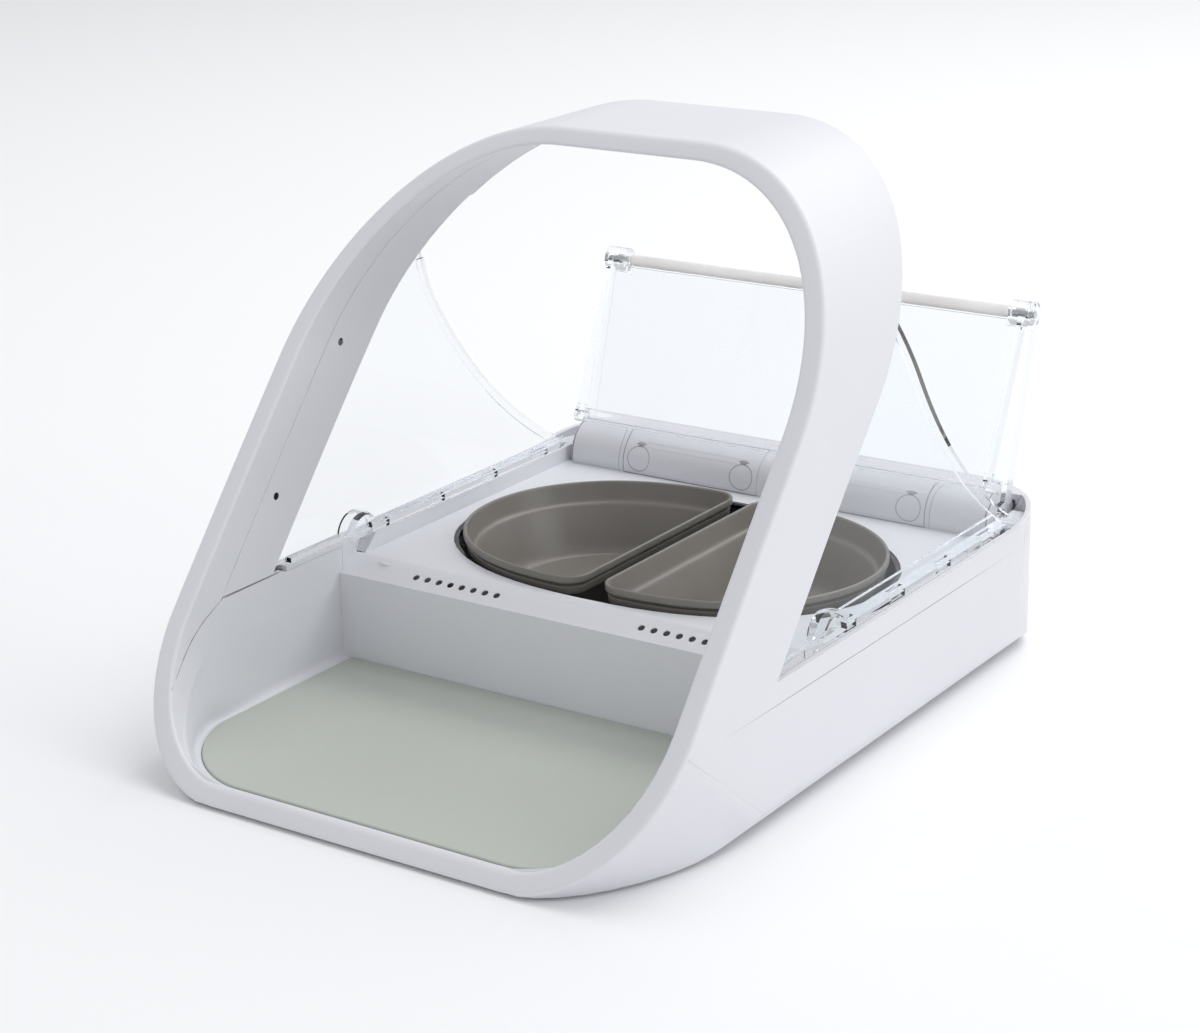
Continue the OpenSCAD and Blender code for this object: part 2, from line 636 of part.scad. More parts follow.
// Clear side shield: a pane with a concave rear edge that follows the arch, on a flat base.
module shield() {
    y0 = front_y + 97;
    y1 = front_y + deck_y + strip_d;
    s = wall + 0.4;
    lip = rail_x + gap;
    x1 = half_w - s;
    z0 = rail_z + gap;
    difference() {
        union() {
            intersection() {
                along(-far, far) intersection() {
                    arch_ring(s, wall * 0.8 + 0.4, s + pane_t, wall * 0.8 + 0.4 + pane_t * 0.75, z0);
                    square([far, 172]);
                }
                across() difference() {
                    polygon(concat([for (i = [0 : 12]) let (z = z0 + (172 - z0) * i / 12) [back(z) - 7.5, z]],
                        [[shield_cy, 172], [shield_cy, z0]]));
                    translate([shield_cy, shield_cz]) circle(shield_cr, $fn = 360);
                    translate([py - 6, 0]) square([far, far]);
                }
            }
            // Raised rib along the concave edge.
            intersection() {
                along(-far, far) intersection() {
                    arch_ring(s, wall * 0.8 + 0.4, s + pane_t + 1.2, wall * 0.8 + 0.4 + pane_t * 0.75, z0);
                    square([far, 154]);
                }
                across() difference() {
                    translate([shield_cy, shield_cz]) circle(shield_cr + 3.6, $fn = 360);
                    translate([shield_cy, shield_cz]) circle(shield_cr, $fn = 360);
                    translate([py - 12, 0]) square([far, far]);
                }
            }
            block(lip, x1, y1 + 7, py - 9, z0, z0 + 2);
            block(inner_x + 0.5, x1, y0 + 3, y1 + 7, z0, z0 + 2);
            block(lip, lip + 1.4, y1 + 9, py - 14, z0, z0 + 4.6);
            // Sloping front end over the end of the rail.
            across(lip, inner_x - 0.4) polygon([[y1 + 0.2, deck_z + 0.3], [y1 + 1.2, deck_z + 0.3],
                [y1 + 8.2, z0], [y1 + 12, z0], [y1 + 12, z0 + 4.6], [y1 + 9, z0 + 4.6], [y1 + 1, deck_z + 2.6]]);
            intersection() {
                dome_place() sphere(9.5);
                block(lip, x1, -far, far, z0, far);
            }
        }
        intersection() {
            dome_place() sphere(8.1);
            block(inner_x - 0.4, x1 - pane_t, -far, far, z0, far);
        }
        // Slots for the snap tabs.
        for (i = [0 : 4]) block(x1 - 6.2, x1 - 4.6, y0 + 14 + i * 36, y0 + 24 + i * 36, 0, z0 + 5);
    }
}
module dome_place() {
    translate([half_w - 7, front_y + deck_y + 13, rail_z + gap]) children();
}
module side_shield_left() {
    color(clear_blue) mirror([1, 0, 0]) shield();
}
module side_shield_right() {
    color(clear_blue) shield();
}

// Weighing plate under one bowl, on a post through the well's floor.
module scale_plate() {
    color([0.3, 0.3, 0.32]) {
        translate([0, 0, plate_z - 1.8]) linear_extrude(1.7)
            polygon([for (p = bowl_ring(-16, 0)) [p[0], p[1]]]);
        translate([cell_post_x, front_y + bowl_y, load_z + load_t]) cylinder(h = plate_z - 1 - load_z - load_t, r = 9);
    }
}
load_z = floor_z + wall + 3;
load_t = 8;
module scale_plate_left() {
    mirror([1, 0, 0]) scale_plate();
}
module scale_plate_right() {
    scale_plate();
}
// Bending beam that weighs one bowl, standing on a block at its far end.
module load_cell() {
    y = front_y + bowl_y;
    color("silver") difference() {
        union() {
            block(cell_post_x - 6, cell_post_x + 6, y - 34, y + 10, load_z, load_z + load_t - 0.1);
            block(cell_post_x - 6, cell_post_x + 6, y - 34, y - 24, floor_z + wall, load_z + 1);
        }
        rod_x(0, far, y - 16, load_z + load_t / 2, 2.6);
        rod_x(0, far, y - 8, load_z + load_t / 2, 2.6);
        block(0, far, y - 16, y - 8, load_z + load_t / 2 - 1, load_z + load_t / 2 + 1);
    }
}
module load_cell_left() {
    mirror([1, 0, 0]) load_cell();
}
module load_cell_right() {
    load_cell();
}

// Dark lenses in the light strip, joined by a bar under each row.
module light_guides() {
    color([0.12, 0.05, 0.05]) both_sides() intersection() {
        union() {
            for (i = [0 : lights - 1]) translate([light_x + i * light_pitch, light_y, light_z])
                rotate([strip_a, 0, 0]) translate([0, 0, -3.6]) cylinder(h = 3.3, r = light_r - 0.05);
            translate([light_x - 2, light_y, light_z]) rotate([strip_a, 0, 0])
                translate([0, -2, -3.8]) cube([(lights - 1) * light_pitch + 4, 4, 1.4]);
        }
        block(0, far, front_y + deck_y + wall + 0.2, far, 0, far);
    }
}
// Lenses of the four beam sensors in the legs of the arch.
module beam_sensors() {
    color([0.06, 0.05, 0.06]) both_sides() for (z = beam_z)
        rod_x(inner_x + 0.3, skin_x + 0.9, front(z) + beam_back, z, 1.45);
}
// Winding that reads the chip, inside the arch.
module antenna_coil() {
    color([0.72, 0.45, 0.2]) difference() {
        intersection() {
            along(-far, far) arch_ring(wall + 0.4, wall * 0.8 + 0.4, rim_side - wall - 1.2,
                rim_top - wall * 0.8 - 0.5, seam_z + 8);
            front_slab(liner_back + 14, liner_back + 24, seam_z - 5, arch_h + 5);
        }
    }
}
// Circuit board behind the deck's front wall, with its main chips and plugs.
module main_board() {
    y = front_y + deck_y + wall + 1.2;
    color([0.1, 0.35, 0.2]) block(-66, 66, y, y + 1.6, floor_z + wall, deck_z - strip_drop - 5);
    color([0.1, 0.1, 0.1]) {
        block(-8, 8, y + 1.6, y + 3.2, 14, 28);
        block(22, 30, y + 1.6, y + 4.5, 12, 22);
        block(-52, -38, y + 1.6, y + 5, 10, 16);
    }
}
// Gearmotor that opens and shuts the lid.
module drive_motor() {
    color("silver") {
        rod_x(gear_x - 48, gear_x - 3.2, motor_y, motor_z, motor_r);
        rod_x(gear_x - 51, gear_x - 48, motor_y, motor_z, motor_r * 0.35);
    }
}
// Bracket with two cheeks that hold the motor and the idler's axle.
module gear_bracket() {
    color([0.75, 0.76, 0.8]) difference() {
        union() {
            for (x = [gear_x - 3, gear_x + gear_w + 1]) block(x, x + 2, motor_y - 8, py + 7, floor_z + wall, idler_z + 6);
            block(gear_x - 3, gear_x + gear_w + 3, motor_y - 8, py + 7, floor_z + wall, floor_z + wall + 2);
        }
        rod_x(gear_x - 9, gear_x + gear_w + 9, py, idler_z, 1.5);
        rod_x(gear_x - 9, gear_x + gear_w + 9, motor_y, motor_z, 3 + run);
    }
}
module idler_axle() {
    color("silver") rod_x(gear_x - 3, gear_x + gear_w + 3, py, idler_z, 1.5);
}
module shaft_bushes() {
    color([0.2, 0.2, 0.22]) both_sides() difference() {
        rod_x(barrel_x - wall, barrel_x, py, pivot_z, shaft_r + 2);
        rod_x(-far, far, py, pivot_z, shaft_r + run);
        block(-far, far, -far, far, 0, deck_z);
    }
}
// Spring contacts at the ends of the cells.
module battery_contacts() {
    color("silver") both_sides() for (y = cell_y) {
        block(door_x0 + 0.05, door_x0 + 0.5, y - 5, y + 5, cell_z - 6, cell_z + 6);
        translate([door_x0 + 0.4, y, cell_z]) rotate([0, 90, 0]) cylinder(h = 1.5, r1 = 5, r2 = 3);
        block(door_x1 - 0.5, door_x1 - 0.05, y - 5, y + 5, cell_z - 6, cell_z + 6);
        translate([door_x1 - 1.9, y, cell_z]) rotate([0, 90, 0]) cylinder(h = 1.5, r = 2.5);
    }
}
// Board with the three small switches behind the buttons.
module button_board() {
    y = rear_y - wall - 6.7;
    color([0.1, 0.35, 0.2]) block(-button_pitch - 9, button_pitch + 9, y, y + 1.6, button_z - 9, button_z + 9);
    color([0.1, 0.1, 0.1]) for (i = [-1 : 1])
        block(i * button_pitch - 3, i * button_pitch + 3, y + 1.6, y + 3.6, button_z - 3, button_z + 3);
    color(white) block(-button_pitch - 9, button_pitch + 9, y - 1, y, floor_z + wall, button_z - 4);
}
// Screws that hold the deck to the tub from below.
module case_screws() {
    color("silver") for (p = boss_xy, s = [-1, 1]) translate([s * p[0], p[1], floor_z + 0.6]) {
        cylinder(h = 2, r = 3);
        cylinder(h = boss_top + 7 - floor_z, r = screw_r);
    }
}
module rubber_feet() {
    color([0.2, 0.2, 0.2]) for (p = foot_xy, s = [-1, 1])
        translate([s * p[0], p[1], 0]) cylinder(h = floor_z + 0.9, r = foot_r);
}

// Places a child in the frame of the rear leaf: the shaft at the origin, the leaf up z.
module rear_leaf_place() {
    translate([0, py, pivot_z]) rotate([-lid_lean, 0, 0]) children();
}
// Places a child in the frame of the front leaf: the fold at the origin, the leaf down z.
module front_leaf_place() {
    rear_leaf_place() translate([0, 0, leaf1_l]) rotate([-fold_gap, 0, 0]) children();
}
// Rear leaf: a pane with an arm at each side, from the shaft up to the fold.
module lid_rear_leaf() {
    color(clear_blue) rear_leaf_place() difference() {
        union() {
            block(-arm_x, arm_x, 0.7, 0.7 + pane_t, barrel_r + 1.4, leaf1_l - knob_r - 1.2);
            block(-knob_x0 + 1, knob_x0 - 1, 0.7, 0.7 + pane_t, leaf1_l - knob_r - 2, leaf1_l - seal_r - 0.1);
            both_sides() {
                block(arm_x, arm_x + arm_t, -2, 3.4, 0, leaf1_l);
                rod_x(arm_x, arm_x + arm_t, 0, 0, shaft_r + 5);
                rod_x(arm_x, arm_x + arm_t, 0, leaf1_l, knob_r);
            }
        }
        rod_x(-far, far, 0, 0, shaft_r + 0.02);
        rod_x(-far, far, 0, leaf1_l, pin_r + 0.02);
    }
}
knob_x0 = arm_x - 7.6;
seal_r = 2.4;
// Steel shaft that turns both arms of the rear leaf together.
module lid_shaft() {
    color("silver") rod_x(-arm_x - arm_t, arm_x + arm_t, py, pivot_z, shaft_r);
}
module lid_gear() {
    color([0.9, 0.88, 0.8]) gear(lid_teeth, gear_x, py, pivot_z, 0, shaft_r + 0.02);
}
module fold_pins() {
    color("silver") rear_leaf_place() both_sides() rod_x(knob_x0 + 0.4, arm_x + arm_t, 0, leaf1_l, pin_r);
}
// Soft translucent bead along the fold.
module fold_seal() {
    color([0.75, 0.74, 0.72, 0.8]) rear_leaf_place() rod_x(-knob_x0 + 1, knob_x0 - 1, 0, leaf1_l, seal_r);
}
// Front leaf: a pane with raised sides, knuckles at the fold and pegs at its front corners.
module lid_front_leaf() {
    x1 = arm_x - 0.6;
    color(clear_blue) front_leaf_place() difference() {
        union() {
            block(-x1, x1, -0.7 - pane_t, -0.7, -leaf2_l + 3.5, -knob_r - 0.6);
            block(-knob_x0 + 1, knob_x0 - 1, -0.7 - pane_t, -0.7, -knob_r - 1, -seal_r - 0.8);
            both_sides() {
                block(x1 - pane_t, x1, -5.8, -0.7, -leaf2_l, 0);
                rod_x(knob_x0, x1, 0, 0, knob_r);
                rod_x(x1 - pane_t, arm_x + arm_t, 0, -leaf2_l, 2.4);
                block(x1 - pane_t, x1, -3, 0, -leaf2_l, -leaf2_l + 5);
            }
        }
        rod_x(-far, far, 0, 0, pin_r + run);
    }
}
module lip_seal() {
    x1 = arm_x - 3.2;
    color([0.75, 0.74, 0.72, 0.8]) front_leaf_place() {
        block(-x1, x1, -2.6, -1.2, -leaf2_l - 1.8, -leaf2_l + 3.4);
        block(-x1, x1, -1.3, 1, -leaf2_l - 1.8, -leaf2_l - 0.6);
    }
}
module idler_gear() {
    color([0.9, 0.88, 0.8]) gear(idler_teeth, gear_x, py, idler_z, idler_turn, 1.5 + run);
}
module motor_pinion() {
    color([0.8, 0.7, 0.4]) {
        gear(motor_teeth, gear_x, motor_y, motor_z, motor_turn, 0.1);
        rod_x(gear_x - 3, gear_x + gear_w - 0.5, motor_y, motor_z, 3);
    }
}

// Round push button in the rear wall, held by its inner flange.
module button(i) {
    color([0.8, 0.8, 0.83]) translate([i * button_pitch, rear_y + button_travel, button_z]) rotate([90, 0, 0]) {
        cylinder(h = button_travel + wall + 1.8, r = button_r);
        translate([0, 0, button_travel + wall + 0.2]) cylinder(h = 1.6, r = button_r + 1.5);
    }
}
module button_left() {
    button(-1);
}
module button_middle() {
    button(0);
}
module button_right() {
    button(1);
}

// One food bowl with a flat side, a stepped double lip and sloping walls.
module bowl() {
    color([0.5, 0.48, 0.45]) difference() {
        loft([bowl_ring(-13.6, plate_z + 0.1), bowl_ring(-11, plate_z + 3), bowl_ring(-3.6, bowl_top - 8),
            bowl_ring(-1.2, bowl_top - 7.4), bowl_ring(-1, bowl_top - 4.4), bowl_ring(-2.4, bowl_top - 4),
            bowl_ring(0, bowl_top - 2.6), bowl_ring(0, bowl_top)]);
        loft([bowl_ring(-15.3, plate_z + 1.8), bowl_ring(-12.7, plate_z + 4.6), bowl_ring(-5.2, bowl_top - 8.4),
            bowl_ring(-3.6, bowl_top - 7.6), bowl_ring(-1.6, bowl_top - 1), bowl_ring(-1.2, bowl_top + 1)]);
    }
}
module bowl_left() {
    mirror([1, 0, 0]) bowl();
}
module bowl_right() {
    bowl();
}
module floor_mat() {
    color([0.69, 0.72, 0.69]) translate([0, 0, mat_z - mat_t + 0.1]) linear_extrude(mat_t - 0.1) mat_plan(0.5);
}
// Clip-in door under one pair of cells.
module battery_door() {
    color(white) {
        block(door_x0 + gap, door_x1 - gap, door_y0 + gap, door_y1 - gap, floor_z, floor_z + wall - 0.4);
        for (y = [door_y0 + 1, door_y1 - 2.4])
            block(door_x0 + 12, door_x1 - 12, y, y + 1.4, floor_z + 1, floor_z + wall + 1.2);
    }
}
module battery_door_left() {
    mirror([1, 0, 0]) battery_door();
}
module battery_door_right() {
    battery_door();
}
// Pair of C cells with their raised contacts.
module cells() {
    for (y = cell_y) {
        color([0.15, 0.4, 0.3]) rod_x(cell_x, cell_x + cell_l - 1.4, y, cell_z, cell_d / 2);
        color("silver") rod_x(cell_x + cell_l - 1.5, cell_x + cell_l, y, cell_z, 3.4);
    }
}
module battery_cells_left() {
    mirror([1, 0, 0]) cells();
}
module battery_cells_right() {
    cells();
}

base_tub();
upper_housing();
arch_liner();
deck_panel();
bowl_well();
barrel_shell();
barrel_cover_left();
barrel_cover_right();
cover_screw_caps();
side_shield_left();
side_shield_right();
scale_plate_left();
scale_plate_right();
load_cell_left();
load_cell_right();
light_guides();
beam_sensors();
antenna_coil();
main_board();
drive_motor();
gear_bracket();
idler_axle();
shaft_bushes();
battery_contacts();
button_board();
case_screws();
rubber_feet();
lid_rear_leaf();
lid_shaft();
lid_gear();
fold_pins();
fold_seal();
lid_front_leaf();
lip_seal();
idler_gear();
motor_pinion();
button_left();
button_middle();
button_right();
bowl_left();
bowl_right();
floor_mat();
battery_door_left();
battery_door_right();
battery_cells_left();
battery_cells_right();
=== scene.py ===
"""Dresses the pet feeder: rounded mouldings, bowls, mat, seals, clear lid, finishes, studio and camera.

The CAD frame gives every place and size. Lengths in this file are millimetres unless a name says
otherwise, and a mesh is turned to metres as it is made.
"""
import math

import bmesh
import bpy
import numpy as np
from bpy.props import FloatProperty, FloatVectorProperty, PointerProperty
from mathutils import Matrix, Vector


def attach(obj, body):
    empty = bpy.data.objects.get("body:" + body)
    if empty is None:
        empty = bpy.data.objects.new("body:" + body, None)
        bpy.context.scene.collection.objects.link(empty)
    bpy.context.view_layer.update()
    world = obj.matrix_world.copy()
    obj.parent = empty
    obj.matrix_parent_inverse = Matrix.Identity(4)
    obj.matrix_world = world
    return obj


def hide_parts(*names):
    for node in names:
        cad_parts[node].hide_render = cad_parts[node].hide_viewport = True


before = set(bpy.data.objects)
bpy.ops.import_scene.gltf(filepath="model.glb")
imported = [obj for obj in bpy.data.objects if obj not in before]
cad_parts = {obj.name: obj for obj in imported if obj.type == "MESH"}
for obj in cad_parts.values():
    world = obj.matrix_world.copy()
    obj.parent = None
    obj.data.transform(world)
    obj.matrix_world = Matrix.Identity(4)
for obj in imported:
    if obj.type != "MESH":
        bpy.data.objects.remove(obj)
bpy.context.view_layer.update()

bl_info = {
    "name": "Pet Feeder Dressing",
    "version": (1, 0, 0),
    "blender": (4, 5, 0),
    "location": "View3D > Sidebar > Feeder",
    "description": "Makes the visible pieces and finishes of a folding-lid pet feeder",
    "category": "Object",
}

# Places that several pieces share, in millimetres in the row's frame.
FRONT_Y = -159.1
HALF_W = 112.8
LEAN = 0.794
BOW = 0.00021
FACE_LEAN = math.atan(LEAN + 0.02)
RIM_SIDE = 8.0
ENTRY_W = HALF_W - RIM_SIDE
SHAFT_Y = 129.4
SHAFT_Z = 50.0
BARREL_R = 13.2
LID_LEAN = math.radians(16.65)
FOLD = math.radians(7.8)
LEAF_1 = 82.0
BOWL_Y = FRONT_Y + 203
SEAM_Z = 44.8

# The front rim: the middle and the rays from which its outlines are read, how far behind the face the
# shell is cut off, and how far the rim's own band reaches back.
RIM_MIDDLE = np.array([0.0, 96.0])
RAYS = np.radians(np.arange(0.13, 360, 0.5))
RIM_TRIM = 1.45
RIM_BACK = 1.95

# The rounded noses: radius, height of the lowest line, and for the outer one the angles (degrees from
# the flat side) of the planes that divide its first strip.
SIDE_R, SIDE_Z = 51.0, 1.2
NOSE_R, NOSE_Z = 44.5, 7.3
NOSE_STEPS = (0, 0.7, 1.4, 2.2, 3.0, 4.0, 5.0, 6.0, 7.0, 8.0)
NOSE_STRIP = 9.5

# A bowl's section as growth over its rim's outline and height, with the roundness of each corner.
BOWL_SECTION = [
    (-15.2, 22.1), (-13.6, 22.1), (-11, 25), (-3.6, 43.5), (-1.2, 44.1), (-1, 47.1), (-2.4, 47.5),
    (-0.6, 48.3), (0, 48.9), (0, 51.5), (-1.2, 51.5), (-1.6, 50.5), (-3.6, 43.9), (-5.2, 43.1),
    (-12.7, 26.6), (-15.3, 23.8), (-17.5, 23.8)]
BOWL_ROUND = [1.5, 3, 0.8, 0.4, 0.4, 0.4, 0.3, 0.3, 0.55, 0.55, 0.5, 1.2, 1.0, 3.0, 3.0]

# The mat's outline, and its section as distance in from the outline and height.
MAT_HALF = 101.3
MAT_FRONT = FRONT_Y + 9.9
MAT_BACK = FRONT_Y + 127
MAT_CORNER = (42.8, 42.5)
MAT_SECTION = [(3, 5.0), (0.25, 5.0), (0.25, 6.9), (4.5, 6.9)]
FILLET_R = 3.4
FILLET_BASE = 6.0
FILLET_TOP = (7.28, 38)

# The line between the mouldings on the entry's wall, as distance behind the front edge and height.
ENTRY_SEAM = [(24, 29.5), (30, 32.2), (37, 37.4), (42.3, 41.5), (50, 46.7), (60.5, 51.7)]
WALL_SEAM = [(60.5, 51.7), (94, 52.1)]
OUTER_SEAM = (61, 272)

# The screw caps on the lid's housing: places along X, turn from the front foot, radius of the ring.
CAPS = (13.2, 63.7)
CAP_TURN = 15
CAP_R = 5.45

# The soft lip of the lid in its leaf's own y and z.
LIP = [(-2.6, -67.9), (-2.6, -71.3), (1.0, -71.3), (1.0, -70.1), (-1.2, -70.1), (-1.2, -66.1),
       (-2.6, -66.1), (-2.6, -68.0)]


# ---------------------------------------------------------------- settings

class BodySettings(bpy.types.PropertyGroup):
    """Colours and edges of the white mouldings."""

    edge: FloatProperty(
        name="Rim edge", description="Radius of the rounded edges of the front rim", default=0.00145,
        min=0.0002, max=0.0019, subtype="DISTANCE", unit="LENGTH")
    small_edge: FloatProperty(
        name="Small edge", description="Radius of the other moulded edges", default=0.0006,
        min=0.0001, max=0.0015, subtype="DISTANCE", unit="LENGTH")
    white: FloatVectorProperty(
        name="White", description="Colour of the mouldings", default=(0.76, 0.765, 0.80), size=3,
        min=0, max=1, subtype="COLOR")
    # The seam colour is painted shade: it tints the thin ribbons laid where the gaps between mouldings
    # fall in shadow.
    line: FloatVectorProperty(
        name="Seams", description="Colour in the thin seams", default=(0.30, 0.25, 0.28), size=3,
        min=0, max=1, subtype="COLOR")


class BowlSettings(bpy.types.PropertyGroup):
    """Colours of the bowls, the well and the mat."""

    grey: FloatVectorProperty(
        name="Bowl", description="Colour of the bowls", default=(0.20, 0.185, 0.165), size=3,
        min=0, max=1, subtype="COLOR")
    black: FloatVectorProperty(
        name="Well", description="Colour of the well under the bowls", default=(0.010, 0.010, 0.012),
        size=3, min=0, max=1, subtype="COLOR")
    mat: FloatVectorProperty(
        name="Mat", description="Colour of the mat", default=(0.52, 0.55, 0.50), size=3,
        min=0, max=1, subtype="COLOR")


class LidSettings(bpy.types.PropertyGroup):
    """Clear plastic and seals of the lid."""

    clear: FloatVectorProperty(
        name="Clear", description="Tint of the clear plastic", default=(0.965, 0.98, 0.99), size=3,
        min=0, max=1, subtype="COLOR")
    seal: FloatVectorProperty(
        name="Seal", description="Colour of the soft seals", default=(0.97, 0.945, 0.925), size=3,
        min=0, max=1, subtype="COLOR")
    edge: FloatProperty(
        name="Clear edge", description="Radius of the edges of the clear mouldings", default=0.0004,
        min=0.0001, max=0.001, subtype="DISTANCE", unit="LENGTH")


class StageSettings(bpy.types.PropertyGroup):
    """Light of the studio."""

    sky: FloatProperty(
        name="Surround", description="Strength of the light from all sides", default=0.65, min=0, max=5)
    key: FloatProperty(
        name="Key", description="Power of the large lamp above", default=33.0, min=0, max=500,
        subtype="POWER", unit="POWER")


# ---------------------------------------------------------------- mesh helpers

SHARP = math.radians(32)
FLAT = math.radians(0.04)


def grid_quads(rows, cols, close_rows=False):
    """Quads of a grid whose columns close: a point, its right, upper right and upper neighbour."""
    r = np.arange(rows if close_rows else rows - 1)[:, None]
    c = np.arange(cols)[None, :]
    r1, c1 = (r + 1) % rows, (c + 1) % cols
    return np.stack([r * cols + c, r * cols + c1, r1 * cols + c1, r1 * cols + c], -1).reshape(-1, 4)


def rounded(points, radius, n=4):
    """Polyline whose inner corners become parabolic arcs that start radius before and after each."""
    p = np.asarray(points, float)
    a, b, c = p[:-2], p[1:-1], p[2:]
    la = np.linalg.norm(b - a, axis=1, keepdims=True)
    lc = np.linalg.norm(c - b, axis=1, keepdims=True)
    r = np.broadcast_to(np.asarray(radius, float), (len(b),))[:, None]
    s = b + (a - b) / la * np.minimum(r, 0.45 * la)
    e = b + (c - b) / lc * np.minimum(r, 0.45 * lc)
    t = np.linspace(0, 1, n + 1)[None, :, None]
    arcs = (1 - t) ** 2 * s[:, None] + 2 * t * (1 - t) * b[:, None] + t ** 2 * e[:, None]
    return np.vstack([p[:1], arcs.reshape(-1, p.shape[1]), p[-1:]])


def points_mm(mesh):
    """The points of a mesh in millimetres."""
    co = np.zeros(len(mesh.vertices) * 3)
    mesh.vertices.foreach_get("co", co)
    return co.reshape(-1, 3) * 1000


def move_points(mesh, points):
    """Puts the points of a mesh in new places given in millimetres."""
    mesh.vertices.foreach_set("co", (points / 1000).ravel())
    mesh.update()


def triangles(mesh):
    """The corner numbers of a mesh's triangles."""
    mesh.calc_loop_triangles()
    tri = np.zeros(len(mesh.loop_triangles) * 3, np.int32)
    mesh.loop_triangles.foreach_get("vertices", tri)
    return tri.reshape(-1, 3)


def everything(bm):
    """All points, edges and faces of a bmesh, as its cutting operators want them."""
    return bm.verts[:] + bm.edges[:] + bm.faces[:]


def new_object(name, verts_mm, faces, material, body, smooth=math.radians(35)):
    """A piece from points in millimetres; its edges sharper than smooth stay sharp."""
    me = bpy.data.meshes.new(name)
    me.from_pydata((np.asarray(verts_mm, float) / 1000).tolist(), [],
                   [list(map(int, f)) for f in faces])
    me.materials.append(material)
    me.polygons.foreach_set("use_smooth", np.ones(len(me.polygons), bool))
    me.validate()
    me.set_sharp_from_angle(angle=smooth)
    obj = bpy.data.objects.new(name, me)
    bpy.context.scene.collection.objects.link(obj)
    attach(obj, body)
    return obj


def loft(name, rings, cap_ends, material, body, close_rows=False, smooth=math.radians(35)):
    """A skin through rings of equally many points, with flat ends where cap_ends asks for them."""
    rings = np.asarray(rings, float)
    rows, cols = rings.shape[:2]
    faces = grid_quads(rows, cols, close_rows).tolist()
    if cap_ends:
        faces.append(list(range(cols))[::-1])
        faces.append([(rows - 1) * cols + i for i in range(cols)])
    obj = new_object(name, rings.reshape(-1, 3), faces, material, body, smooth)
    bm = bmesh.new()
    bm.from_mesh(obj.data)
    bmesh.ops.recalc_face_normals(bm, faces=bm.faces)
    bm.to_mesh(obj.data)
    bm.free()
    return obj


def joined(nodes):
    """One mesh that is the union of CAD nodes whose faces touch."""
    objs = []
    for n in nodes:
        bm = bmesh.new()
        bm.from_mesh(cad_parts[n].data)
        bmesh.ops.remove_doubles(bm, verts=bm.verts, dist=2e-6)
        bmesh.ops.recalc_face_normals(bm, faces=bm.faces)
        me = bpy.data.meshes.new(n + "_part")
        bm.to_mesh(me)
        bm.free()
        objs.append(bpy.data.objects.new(me.name, me))
        bpy.context.scene.collection.objects.link(objs[-1])
    for other in objs[1:]:
        mod = objs[0].modifiers.new("Union", "BOOLEAN")
        mod.operation, mod.solver, mod.object = "UNION", "EXACT", other
    bpy.context.view_layer.update()
    me = bpy.data.meshes.new_from_object(objs[0].evaluated_get(bpy.context.evaluated_depsgraph_get()))
    for o in objs:
        bpy.data.objects.remove(o)
    return me


def softened(name, nodes, material, body, width_m, weigh=None, mesh=None):
    """A copy of CAD nodes as one mesh with rounded edges, which stands for them.

    Points closer than two micrometres are merged and flat triangles joined, and a Bevel modifier then
    rounds every edge that turns more than SHARP. weigh gives each edge a share of the full radius
    from the places of its two ends. mesh takes the place of the nodes' own surfaces.
    """
    bm = bmesh.new()
    if mesh:
        bm.from_mesh(mesh)
    for n in () if mesh else nodes:
        bm.from_mesh(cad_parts[n].data)
    bmesh.ops.remove_doubles(bm, verts=bm.verts, dist=2e-6)
    bmesh.ops.dissolve_degenerate(bm, edges=bm.edges, dist=1e-6)
    bmesh.ops.dissolve_limit(
        bm, angle_limit=FLAT, verts=bm.verts, edges=bm.edges, delimit={"NORMAL"})
    me = bpy.data.meshes.new(name)
    bm.to_mesh(me)
    bm.free()
    me.materials.clear()
    me.materials.append(material)
    me.polygons.foreach_set("use_smooth", np.ones(len(me.polygons), bool))
    me.polygons.foreach_set("material_index", np.zeros(len(me.polygons), np.int32))
    me.set_sharp_from_angle(angle=SHARP)
    obj = bpy.data.objects.new(name, me)
    bpy.context.scene.collection.objects.link(obj)
    bevel = obj.modifiers.new("Rounded edges", "BEVEL")
    bevel.width = width_m
    bevel.segments = 2
    bevel.harden_normals = True
    bevel.use_clamp_overlap = True
    bevel.limit_method = "ANGLE"
    bevel.angle_limit = SHARP
    if weigh is not None:
        bevel.limit_method = "WEIGHT"
        bevel.use_clamp_overlap = False
        set_weights(me, weigh)
    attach(obj, body)
    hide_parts(*nodes)
    return obj


def set_weights(me, weigh):
    """Gives each sharp edge its share of the bevel, from the places of its two ends in millimetres."""
    co = points_mm(me)
    ends = np.zeros(len(me.edges) * 2, np.int32)
    me.edges.foreach_get("vertices", ends)
    ends = ends.reshape(-1, 2)
    sharp = np.zeros(len(me.edges), bool)
    me.attributes["sharp_edge"].data.foreach_get("value", sharp)
    share = np.clip(weigh(co[ends[:, 0]], co[ends[:, 1]]), 0, 1) * sharp
    if "bevel_weight_edge" not in me.attributes:
        me.attributes.new("bevel_weight_edge", "FLOAT", "EDGE")
    me.attributes["bevel_weight_edge"].data.foreach_set("value", share.astype(np.float32))


def lid_frame(points, leaf):
    """Turns points drawn on a leaf (x across, y off the leaf, z along it) into the row's frame."""
    p = np.asarray(points, float)
    if leaf == 2:
        c, s = math.cos(-FOLD), math.sin(-FOLD)
        y, z = c * p[..., 1] - s * p[..., 2], s * p[..., 1] + c * p[..., 2]
        p = np.stack([p[..., 0], y, z + LEAF_1], -1)
    c, s = math.cos(-LID_LEAN), math.sin(-LID_LEAN)
    return np.stack([p[..., 0], SHAFT_Y + c * p[..., 1] - s * p[..., 2],
                     SHAFT_Z + s * p[..., 1] + c * p[..., 2]], -1)


def front(z):
    """Depth of the front face at height z."""
    return FRONT_Y + LEAN * z + BOW * z * z


# ---------------------------------------------------------------- finishes

